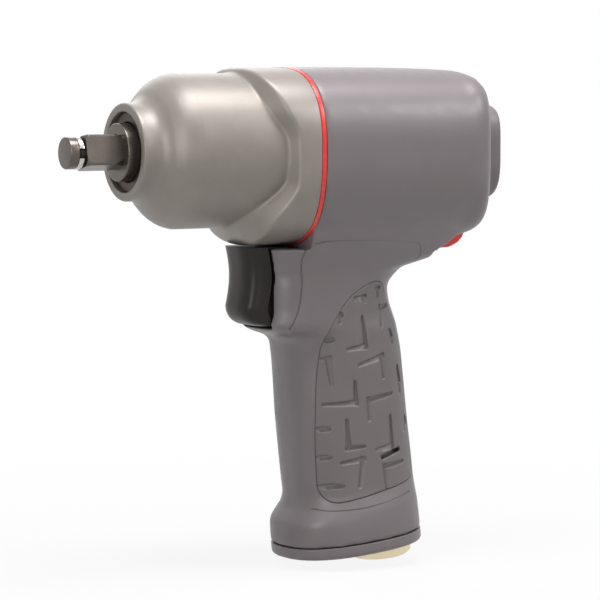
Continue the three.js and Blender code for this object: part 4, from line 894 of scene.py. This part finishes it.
# Lines in the housing's side, in [forward, up the handle]
SEAM = [
    (10.8, 3.5), (14.6, 3), (16.7, 1.6), (17.8, -1.1), (18, -4.2), (18.1, -7.9), (18.8, -10.9),
    (19.4, -13.9), (20.4, -17.3), (21.9, -20.2), (23.3, -22.6),
]
RIDGE = [
    (10.8, 3.5), (4.6, 2.9), (-4, 1.6), (-13.1, 0.1), (-20.5, -1.1), (-22.8, -2.2), (-23.5, -4.6),
    (-22.9, -6.5), (-21.6, -7.6),
]
FLARE_SEAM = [(19.3, -80.2), (15.8, -81), (10.2, -81.3), (3.5, -81.3), (-4.1, -80.7), (-13.1, -79.5)]
GROOVE_RADII = ((SEAM, 0.3), (RIDGE, 0.2), (FLARE_SEAM, 0.25))
GROOVE_ROUND = 8
RAY_START = 60


def groove(skin, path, way, radius):
    """Thin round cutter along a path, laid on the housing's side."""
    spine = []
    for u, w in smooth_curve(path, closed=False):
        start = Vector(to_world([[u, way * RAY_START, w]])[0] * MM)
        hit = skin.ray_cast(start, Vector((0, -way, 0)))[0]
        if hit is not None:
            spine.append(np.array(hit) / MM)
    run = unit(np.gradient(np.array(spine), axis=0))
    side = unit(np.cross(run, [0, 1, 0]))
    up = np.cross(side, run)
    angles = circle_angles(GROOVE_ROUND)
    return loft("groove", [
        point + radius * (np.outer(np.cos(angles), a) + np.outer(np.sin(angles), b))
        for point, a, b in zip(spine, side, up)
    ])


# Hollows in the handle, in its frame: the chamber as [up, radius], the duct as [forward, left]
ON_AXIS = 0.01
BELOW_HANDLE = -96
CHAMBER = [
    (-8.5, ON_AXIS), (-8.5, 7.6), (-33.2, 7.6), (-33.2, 8.5), (-54, 8.5), (-54, 7.2), (-74.9, 7.2),
    (-74.9, 8.35), (-90.8, 8.35), (-90.8, 10.4), (BELOW_HANDLE, 10.4), (BELOW_HANDLE, ON_AXIS),
]
DUCT = [(2, -11), (17, -11), (17, 11), (2, 11)]
DUCT_TOP = -22
SLEEVE_RADIUS = 4.9
SLEEVE_AHEAD = 6


def passages():
    """Hollows inside the moulding: motor bore, cover hole, chamber, duct, rod hole and screw holes."""
    front = HOUSING_FRONT_X + OVERRUN
    bore_end = HOUSING_REAR_X + REAR_WALL
    pocket_x = HOUSING_REAR_X + SCREW_POCKET_DEPTH
    return [
        cylinder("bore", front, bore_end, HOUSING_BORE),
        loft("hole", [boss_ring(bore_end + OVERRUN, 0), boss_ring(HOUSING_REAR_X - OVERRUN, 0)]),
        inlet_turned("chamber", CHAMBER, SMALL_ROUND),
        handle_column("duct", DUCT, BELOW_HANDLE, DUCT_TOP),
        cylinder("rod_hole", ROD_HIGH.x + SLEEVE_AHEAD, ROD_LOW.x - SHORT_OVERRUN, SLEEVE_RADIUS,
                 (0, ROD_Z), HOLE_ROUND),
        *screw_holes(front, pocket_x - OVERRUN, SCREW_RADIUS + LOOSE_GAP),
    ]


JUNCTION_Z = -30.5
JUNCTION_HEIGHT = 5
JUNCTION_FRONT = 20


def junction(points):
    """How much the corner between barrel and handle is rounded: most just under the barrel."""
    near = np.exp(-(((points[:, 2] - JUNCTION_Z) / JUNCTION_HEIGHT) ** 2))
    return near * (to_handle(points)[:, 0] < JUNCTION_FRONT)


def housing():
    obj = combine(barrel_solid(), [handle_solid("handle")], "UNION")
    remeshed(obj, HOUSING_BLEND_VOXEL)
    relaxed(obj, rounds=2)
    relaxed(obj, rounds=14, weight=junction)
    pocket_x = HOUSING_REAR_X + SCREW_POCKET_DEPTH
    pockets = screw_holes(pocket_x, HOUSING_REAR_X - OVERRUN, SCREW_POCKET_RADIUS)
    combine(obj, [trigger_pocket(), case_clearance(), *lever_recess(), *pockets], "DIFFERENCE")
    remeshed(obj, HOUSING_VOXEL)
    relaxed(obj, rounds=3)
    points = [vertex.co.copy() for vertex in obj.data.vertices]
    skin = BVHTree.FromPolygons(points, [tuple(face.vertices) for face in obj.data.polygons])
    grooves = [groove(skin, path, way, radius) for way in (1, -1) for path, radius in GROOVE_RADII]
    combine(obj, [*passages(), panel_pocket(1), panel_pocket(-1), *grooves], "DIFFERENCE")
    dress(obj, "motor_housing", sharp=42)


housing()

# Grip panels: each stroke is two arms from a corner, in [forward, up the handle], with end and corner widths
TREAD_DEPTH = 0.9
TREAD_SHALLOW = 0.2
TREAD = [
    [(-7, -13.6), (-8.5, -14.2), (-8, -17.4)], [(1.8, -15.9), (-2.4, -16.2), (-2.3, -18)],
    [(7.6, -19), (6.9, -20.4), (7.2, -23.2)], [(-12.8, -20), (-8.9, -20.3), (-7.6, -26.4)],
    [(-11.2, -27.2), (-11.6, -29.5), (-12, -32.4)], [(12.9, -27.6), (11, -27.7), (9.2, -27.8)],
    [(-0.9, -21.6), (-0.7, -31.2), (5.8, -31.4)], [(13.9, -33.3), (11.5, -33.6), (11.2, -42.4)],
    [(2.6, -36.9), (-6.7, -35.3), (-6.4, -42.4)], [(-13.2, -39), (-13.4, -44), (-13.4, -48.5)],
    [(4, -41.2), (4.3, -48.3), (14.4, -47.7)], [(-9.8, -47.4), (-0.4, -48.1), (0.1, -54.8)],
    [(-7.9, -53.8), (-7.4, -64), (-1.2, -64.1)], [(7.8, -52.8), (8.1, -62), (2.1, -62.4)],
    [(-15.3, -55.4), (-14.9, -58), (-14.3, -60.8)], [(16.4, -55.1), (14.5, -55.3), (12.6, -55.6)],
    [(16.9, -64.2), (15, -64.4), (12.9, -64.6)], [(10.8, -66.6), (3.6, -66.3), (5.5, -75.3)],
    [(17.2, -73.4), (14, -73.6), (10.1, -74)], [(-12.1, -69.5), (-4.1, -69.8), (-3.8, -77.6)],
]
ARM_END = 0.5
ARM_CORNER = 1
ARM_STEPS = 7
PANEL_PROUD = 0.12
SKIN_ROWS = 120
# The panel's slot, from end to end, and where its cutter starts and stops to the side
SLOT_FROM = (-3.6, -66.7)
SLOT_TO = (-10.8, -65.3)
SLOT_HALF = 0.75
SLOT_INSIDE = 12
SLOT_OUTSIDE = 30


def arm(start, end, half_start, half_end):
    """Outline of a stroke that is square at its start and goes on past it by half its width there."""
    start, end = np.asarray(start, float), np.asarray(end, float)
    run = unit(end - start)
    side = np.array([-run[1], run[0]])
    return [start + side * half_start - run * half_start, end + side * half_end, end - side * half_end,
            start - side * half_start - run * half_start]


def wedge(start, end, way):
    """Cutter along an arm: deep at one edge, and coming up to the skin at the other."""
    a, b, c, d = arm(start, end, ARM_CORNER, ARM_END)
    depths = TREAD_DEPTH * np.array([1, (1 + TREAD_SHALLOW) / 2, TREAD_SHALLOW])
    rows = []
    for t in np.linspace(0, 1, ARM_STEPS):
        deep, shallow = a + (b - a) * t, d + (c - d) * t
        across = [deep, (deep + shallow) / 2, shallow]
        floor_points = [(u, way * (skin_side(u, [w])[0] - depth), w) for (u, w), depth in zip(across, depths)]
        roof = [(u, way * BESIDE, w) for u, w in (shallow, deep)]
        rows.append(to_world(floor_points + roof))
    return loft("tread", rows)


def tread_cutters(way):
    cutters = [wedge(corner, end, way) for first, corner, last in TREAD for end in (first, last)]
    return combine(cutters[0], cutters[1:], "UNION")


def slot_cutter(way):
    outline = arm(SLOT_FROM, SLOT_TO, SLOT_HALF, SLOT_HALF)
    return handle_prism("vent", outline, way * SLOT_INSIDE, way * SLOT_OUTSIDE)


def grip_panel(way, node):
    obj = handle_prism(node + "_skin", panel_outline(), 0, way * BESIDE)
    combine(obj, [handle_solid("skin", -PANEL_PROUD, SKIN_ROWS)], "INTERSECT")
    core = handle_solid("core", PANEL_DEPTH, CORE_ROWS)
    combine(obj, [core, tread_cutters(way), slot_cutter(way)], "DIFFERENCE")
    remeshed(obj, PANEL_VOXEL)
    relaxed(obj, rounds=1)
    dress(obj, node, sharp=60)


grip_panel(1, "grip_panel_left")
grip_panel(-1, "grip_panel_right")

# Rear cover with its boss, and the screws
BOSS_EDGE = 1.8
BOSS_EDGES = [0, BOSS_EDGE, 0.3, 0]
BOSS_RECESS = 8
BOSS_WALL = 4.2
DISH_DEPTH = BOSS_EDGE / 4
DISH_RIM = 5 * BOSS_EDGE
DISH_FLOOR = 5.4 * BOSS_EDGE
COVER_PLATE_SETBACK = 2.6
COVER_PLATE = 2.8
SCREW_HEAD_LENGTH = 3.2
SCREW_EDGES = [0, 0.35, 0.2, 0, 0.4, 0]
HEX_KEY_HALF = 1.5
HEX_KEY_DEPTH = 2


def rear_cover():
    plate_x = COVER_HIGH.x - COVER_PLATE_SETBACK
    rear_x = plate_x - COVER_PLATE
    inset = 2 * SEAT_GAP
    rows = rounded([
        boss_ring(rear_x + SEAT_GAP, inset), boss_ring(COVER_LOW.x, inset),
        boss_ring(COVER_LOW.x, DISH_RIM), boss_ring(COVER_LOW.x + DISH_DEPTH, DISH_FLOOR),
    ], BOSS_EDGES, steps=6)
    obj = loft("boss_cover", rows)
    combine(obj, [cylinder("plate", plate_x, rear_x, COVER_HIGH.y)], "UNION")
    recess = cylinder("recess", plate_x + SHORT_OVERRUN, rear_x - BOSS_RECESS, BOSS_HALF_WIDTH - BOSS_WALL)
    dress(combine(obj, [recess], "DIFFERENCE"), "rear_cover")


def housing_screw(node):
    low, high = limits(node)
    centre = screw_middle(node)
    head_radius = (high.y - low.y) / 2
    head_end = low.x + SCREW_HEAD_LENGTH
    shank = SCREW_RADIUS - SEAT_GAP
    obj = turned(node.replace("housing", "long"), [
        [low.x, 0], [low.x, head_radius], [head_end, head_radius], [head_end, shank], [high.x, shank],
        [high.x, 0],
    ], SCREW_EDGES, centre, SMALL_ROUND)
    reach = HEX_KEY_HALF / math.cos(math.pi / 6)
    hexagon = [(centre[0] + reach * math.cos(a), centre[1] + reach * math.sin(a)) for a in circle_angles(6)]
    socket = prism("hexagon", hexagon, low.x - SHORT_OVERRUN, low.x + HEX_KEY_DEPTH, 0)
    dress(combine(obj, [socket], "DIFFERENCE"), node, sharp=30)


rear_cover()
for screw in SCREWS:
    housing_screw(screw)

# Trigger
TRIGGER_CORNER = 6
TRIGGER_SCOOP = 1.3
TRIGGER_EDGE = 1.2
PAD_LENGTH = 7.5
PAD_EXPONENT = 3
SIDE_STEP = 0.8
PAD_POINTS = 49
TRIGGER_ROWS = 70
ROD_HOLE = 1.7
ROD_EASE = 0.1


def round_off(distance, radius):
    """How far a rounded edge has drawn back at a distance from the face that ends it."""
    inside = np.clip(radius - distance, 0, radius)
    return radius - math.sqrt(radius**2 - inside**2)


def trigger_ring(z):
    """Plan of the trigger at a height: narrow behind, then a pad with rounded corners and a scooped front."""
    top, bottom = TRIGGER_HIGH.z, TRIGGER_LOW.z
    low = z - bottom
    drawn_back = round_off(low, TRIGGER_CORNER)
    t = np.clip((top - z) / (top - bottom - TRIGGER_CORNER), 0, 1)
    front = TRIGGER_HIGH.x - TRIGGER_SCOOP * math.sin(math.pi * t) - drawn_back
    rear = TRIGGER_LOW.x + drawn_back
    half = TRIGGER_HIGH.y - round_off(low, TRIGGER_EDGE)
    back = half - SIDE_STEP
    pad = front - PAD_LENGTH
    power = 2 / PAD_EXPONENT
    ring = [(rear, -back), (pad - SIDE_STEP, -back)]
    for a in np.linspace(-math.pi / 2, math.pi / 2, PAD_POINTS):
        side = half * math.copysign(abs(math.sin(a)) ** power, a)
        ring.append((pad + PAD_LENGTH * math.cos(a) ** power, side))
    ring += [(pad - SIDE_STEP, back), (rear, back)]
    return [(x, y, z) for x, y in ring]


def trigger():
    top, bottom = TRIGGER_HIGH.z, TRIGGER_LOW.z
    share = (1 - np.cos(np.linspace(0, math.pi / 2, TRIGGER_ROWS)))[::-1]
    obj = loft("finger_trigger", [trigger_ring(bottom + s * (top - bottom)) for s in share])
    hole = cylinder("hole", TRIGGER_LOW.x - SHORT_OVERRUN, ROD_HIGH.x + ROD_EASE, ROD_HOLE,
                    (0, ROD_Z), HOLE_ROUND)
    dress(combine(obj, [hole], "DIFFERENCE"), "trigger", sharp=45)


trigger()

# Reversing lever
STEM_HALF_WIDTH = 2.85
BULGE_POINTS = 33
BULGE_SIDE = 15


def reverse_lever():
    """Head with a rounded underside, on a stem that goes up to the valve."""
    inner, reach = LEVER_HEAD_INNER, LEVER_REACH
    front, rear = LEVER_HIGH.x, LEVER_LOW.x
    half = (front - rear) / 2
    head = prism("reversing_lever", ring_segment(inner, reach, LEVER_HEAD_HALF), rear, front, 0)
    bulge = [(front - half + half * math.cos(a), -inner + (reach - inner) * math.sin(a))
             for a in np.linspace(math.pi, TURN, BULGE_POINTS)]
    combine(head, [prism("bulge", bulge, -BULGE_SIDE, BULGE_SIDE, 1)], "INTERSECT")
    remeshed(head, LEVER_VOXEL)
    relaxed(head, rounds=5)
    wide, low, high = STEM_HALF_WIDTH, -inner - SHORT_OVERRUN, LEVER_HIGH.z
    outline = [(-wide, low), (wide, low), (wide, high), (-wide, high)]
    stem = prism("stem", outline, VALVE_LOW.x + SEAT_GAP, VALVE_HIGH.x - SEAT_GAP, 0)
    dress(combine(head, [stem], "UNION"), "reverse_lever", sharp=45)


reverse_lever()

# Foot under the handle
FOOT_THICKNESS = 3.8
FOOT_EDGE = 1.5
FOOT_EDGES = [0, 0.2, FOOT_EDGE, 0]
FOOT_LAND = 3
FOOT_HOLE_RADIUS = 8.3
FOOT_CUT = (-HANDLE_DEPTH + 2, -HANDLE_DEPTH - 6)
OUTLET_PLACES = (5, 9.5, 14)
OUTLET_RADIUS = 1.3
OUTLET_HALF_LENGTH = 7.7


def exhaust_foot():
    reaches = [reach[0] for reach in handle_reaches([1])]
    top, bottom = -HANDLE_DEPTH - LOOSE_GAP / 3, -HANDLE_DEPTH - FOOT_THICKNESS
    rows = rounded([
        handle_ring(reaches, inset, up)
        for up, inset in ((top, FOOT_LAND), (top, 0), (bottom, 0), (bottom, FOOT_LAND))
    ], FOOT_EDGES, steps=6)
    obj = loft("foot_plate", rows)
    cutters = [inlet_turned("hole", [(up, FOOT_HOLE_RADIUS) for up in FOOT_CUT])]
    for place in OUTLET_PLACES:
        ends = [arc((place, -OUTLET_HALF_LENGTH), OUTLET_RADIUS, 180, 360, 8),
                arc((place, OUTLET_HALF_LENGTH), OUTLET_RADIUS, 0, 180, 8)]
        cutters.append(handle_column("slot", np.concatenate(ends), *FOOT_CUT))
    dress(combine(obj, cutters, "DIFFERENCE"), "exhaust_foot", sharp=40)


exhaust_foot()

# Air inlet
HEX_ACROSS = 17
HEX_LENGTH = 4.8
HEX_RIM = (0.5, 0.3)
HEX_CHAMFER = (1, 1.5)
HEX_SLACK = 0.1
THREAD_RADIUS = 5.6
THREAD_PITCH = 1.4
THREAD_DEPTH = 12
THREAD_START = 0.8
THREAD_HEIGHT = 0.55
THREAD_FLAT = 0.1
MOUTH_DEPTH = 0.6
MOUTH_GROWTH = 0.7
THROAT_RADIUS = 4.3
SHANK_RADIUS = 8
SHANK_LENGTH = 17.5


def hex_head(top, bottom):
    """Hexagon with its corners turned away at both ends, more below."""
    corner = HEX_ACROSS / 2 / math.cos(math.pi / 6)
    angles = (np.arange(6) + 0.5) * TURN / 6
    head = loft("hex_bushing", [inlet_ring(up, corner, angles) for up in (bottom, top)])
    rim, rim_inset = HEX_RIM
    chamfer, chamfer_inset = HEX_CHAMFER
    limit = inlet_turned("limit", [
        (top + SHORT_OVERRUN, ON_AXIS), (top + SHORT_OVERRUN, corner - rim_inset),
        (top - rim, corner + HEX_SLACK), (bottom + chamfer, corner + HEX_SLACK),
        (bottom, corner - chamfer_inset), (bottom - ON_AXIS, ON_AXIS),
    ], HANDLE_ROUND)
    return combine(head, [limit], "INTERSECT")


def inlet_bushing():
    top = -HANDLE_DEPTH - FOOT_THICKNESS - LOOSE_GAP
    bottom = top - HEX_LENGTH
    obj = hex_head(top, bottom)
    shank_top = -HANDLE_DEPTH + SHANK_LENGTH - LOOSE_GAP
    foot = top - HEX_RIM[0]
    combine(obj, [inlet_turned("shank", [
        (foot, ON_AXIS), (foot, SHANK_RADIUS), (shank_top, SHANK_RADIUS), (shank_top, ON_AXIS),
    ])], "UNION")
    start, end = bottom - SHORT_OVERRUN, bottom + THREAD_DEPTH
    profile = [(start, ON_AXIS), (start, THREAD_RADIUS + MOUTH_GROWTH), (bottom + MOUTH_DEPTH, THREAD_RADIUS)]
    for k in range(int(THREAD_DEPTH / THREAD_PITCH) - 1):
        low = bottom + THREAD_START + k * THREAD_PITCH
        profile += [
            (low, THREAD_RADIUS), (low + THREAD_PITCH / 2, THREAD_RADIUS + THREAD_HEIGHT),
            (low + THREAD_PITCH - THREAD_FLAT, THREAD_RADIUS),
        ]
    beyond = shank_top + SHORT_OVERRUN
    profile += [(end, THREAD_RADIUS), (end, THROAT_RADIUS), (beyond, THROAT_RADIUS), (beyond, ON_AXIS)]
    dress(combine(obj, [inlet_turned("bore", profile)], "DIFFERENCE"), "inlet_bushing", sharp=30)


inlet_bushing()

# Camera, light and floor
CAMERA_AT = Vector((406.91, 869.52, 29.25)) * MM
LOOK_AT = Vector((-81.036, 0, -47.203)) * MM
LENS = 191.4
SENSOR_WIDTH = 36
CLIP_END = 20
MIDDLE = (-0.075, 0, -0.03)
# Each row: name, place, width and height of the lamp, power
LAMPS = [
    ("top", (-0.08, 0.14, 0.68), (0.7, 0.3), 9.5),
    ("front", (0.75, 0.45, 0.2), (0.2, 0.6), 2.8),
    ("rear", (-0.6, 0.5, 0.45), (0.25, 0.25), 2.6),
    ("side", (0.2, 1.2, 0.1), (0.5, 0.5), 0.6),
    ("back", (-0.3, -0.9, 0.5), (0.6, 0.6), 2.5),
]
WHITE = (1, 1, 1, 1)
AMBIENT = 0.13
FLOOR_SIZE = 6
FLOOR_BELOW = 0.0005
FLOOR_COLOR = (0.5, 0.5, 0.5, 1)
# Distance from the tool's middle, and whiteness of the floor there
FLOOR_NEAR = (0.08, 0.9)
FLOOR_FAR = (0.3, 1.0)


def placed(name, data, place, target):
    """Object for a camera or lamp that stands at a place and looks at a target."""
    obj = linked(name, data)
    obj.location = place
    obj.rotation_euler = (Vector(target) - Vector(place)).to_track_quat("-Z", "Y").to_euler()
    return obj


def camera():
    data = bpy.data.cameras.new("camera")
    data.lens = LENS
    data.sensor_width = SENSOR_WIDTH
    data.clip_end = CLIP_END
    bpy.context.scene.camera = placed("camera", data, CAMERA_AT, LOOK_AT)


def area_light(name, place, size, power):
    data = bpy.data.lights.new(name, "AREA")
    data.shape = "RECTANGLE"
    data.size, data.size_y = size
    data.energy = power
    placed(name, data, place, MIDDLE)


def calculated(tree, operation, first, second):
    node = new_node(tree, "Math")
    node.operation = operation
    tree.links.new(first, node.inputs[0])
    tree.links.new(second, node.inputs[1])
    return node.outputs[0]


def seen_directly(tree):
    """1 for rays from the camera, a mirror or glass, else 0."""
    path = new_node(tree, "LightPath")
    seen = path.outputs["Is Camera Ray"]
    for ray in ("Is Glossy Ray", "Is Transmission Ray"):
        seen = calculated(tree, "MAXIMUM", seen, path.outputs[ray])
    return seen


def mixed_surface(tree, output_kind, factor, first, second):
    """Output with a mix of two shaders."""
    mix = new_node(tree, "MixShader")
    tree.links.new(factor, mix.inputs["Fac"])
    tree.links.new(first.outputs[0], mix.inputs[1])
    tree.links.new(second.outputs[0], mix.inputs[2])
    tree.links.new(mix.outputs[0], new_node(tree, output_kind).inputs["Surface"])


def world():
    """Faint light all round, seen as plain white."""
    scene_world = bpy.data.worlds.new("studio")
    bpy.context.scene.world = scene_world
    tree = cleared(scene_world)
    lit = new_node(tree, "Background", Color=WHITE, Strength=AMBIENT)
    white = new_node(tree, "Background", Color=WHITE, Strength=1)
    mixed_surface(tree, "OutputWorld", seen_directly(tree), lit, white)


def floor_whiteness(tree, height):
    """How white a point of the floor is, by its distance from the tool."""
    away = new_node(tree, "VectorMath")
    away.operation = "DISTANCE"
    away.inputs[1].default_value = (*MIDDLE[:2], height)
    tree.links.new(new_node(tree, "TexCoord").outputs["Object"], away.inputs[0])
    return ramp(tree, away.outputs["Value"], FLOOR_NEAR[1], FLOOR_FAR[1], FLOOR_NEAR[0], FLOOR_FAR[0])


def floor():
    """White floor that keeps the shadow near the tool and fades to plain white further out."""
    size = FLOOR_SIZE
    height = cad_box[0].z - FLOOR_BELOW
    mesh = bpy.data.meshes.new("floor")
    corners = [(-size, -size, height), (size, -size, height), (size, size, height), (-size, size, height)]
    mesh.from_pydata(corners, [], [(0, 1, 2, 3)])
    material = bpy.data.materials.new("floor")
    mesh.materials.append(material)
    tree = cleared(material)
    share = calculated(tree, "MULTIPLY", seen_directly(tree), floor_whiteness(tree, height))
    mixed_surface(tree, "OutputMaterial", share, new_node(tree, "BsdfDiffuse", Color=FLOOR_COLOR),
                  new_node(tree, "Emission", Strength=1))
    linked("floor", mesh)


camera()
world()
floor()
for lamp in LAMPS:
    area_light(*lamp)
bpy.context.scene.view_settings.view_transform = "Standard"
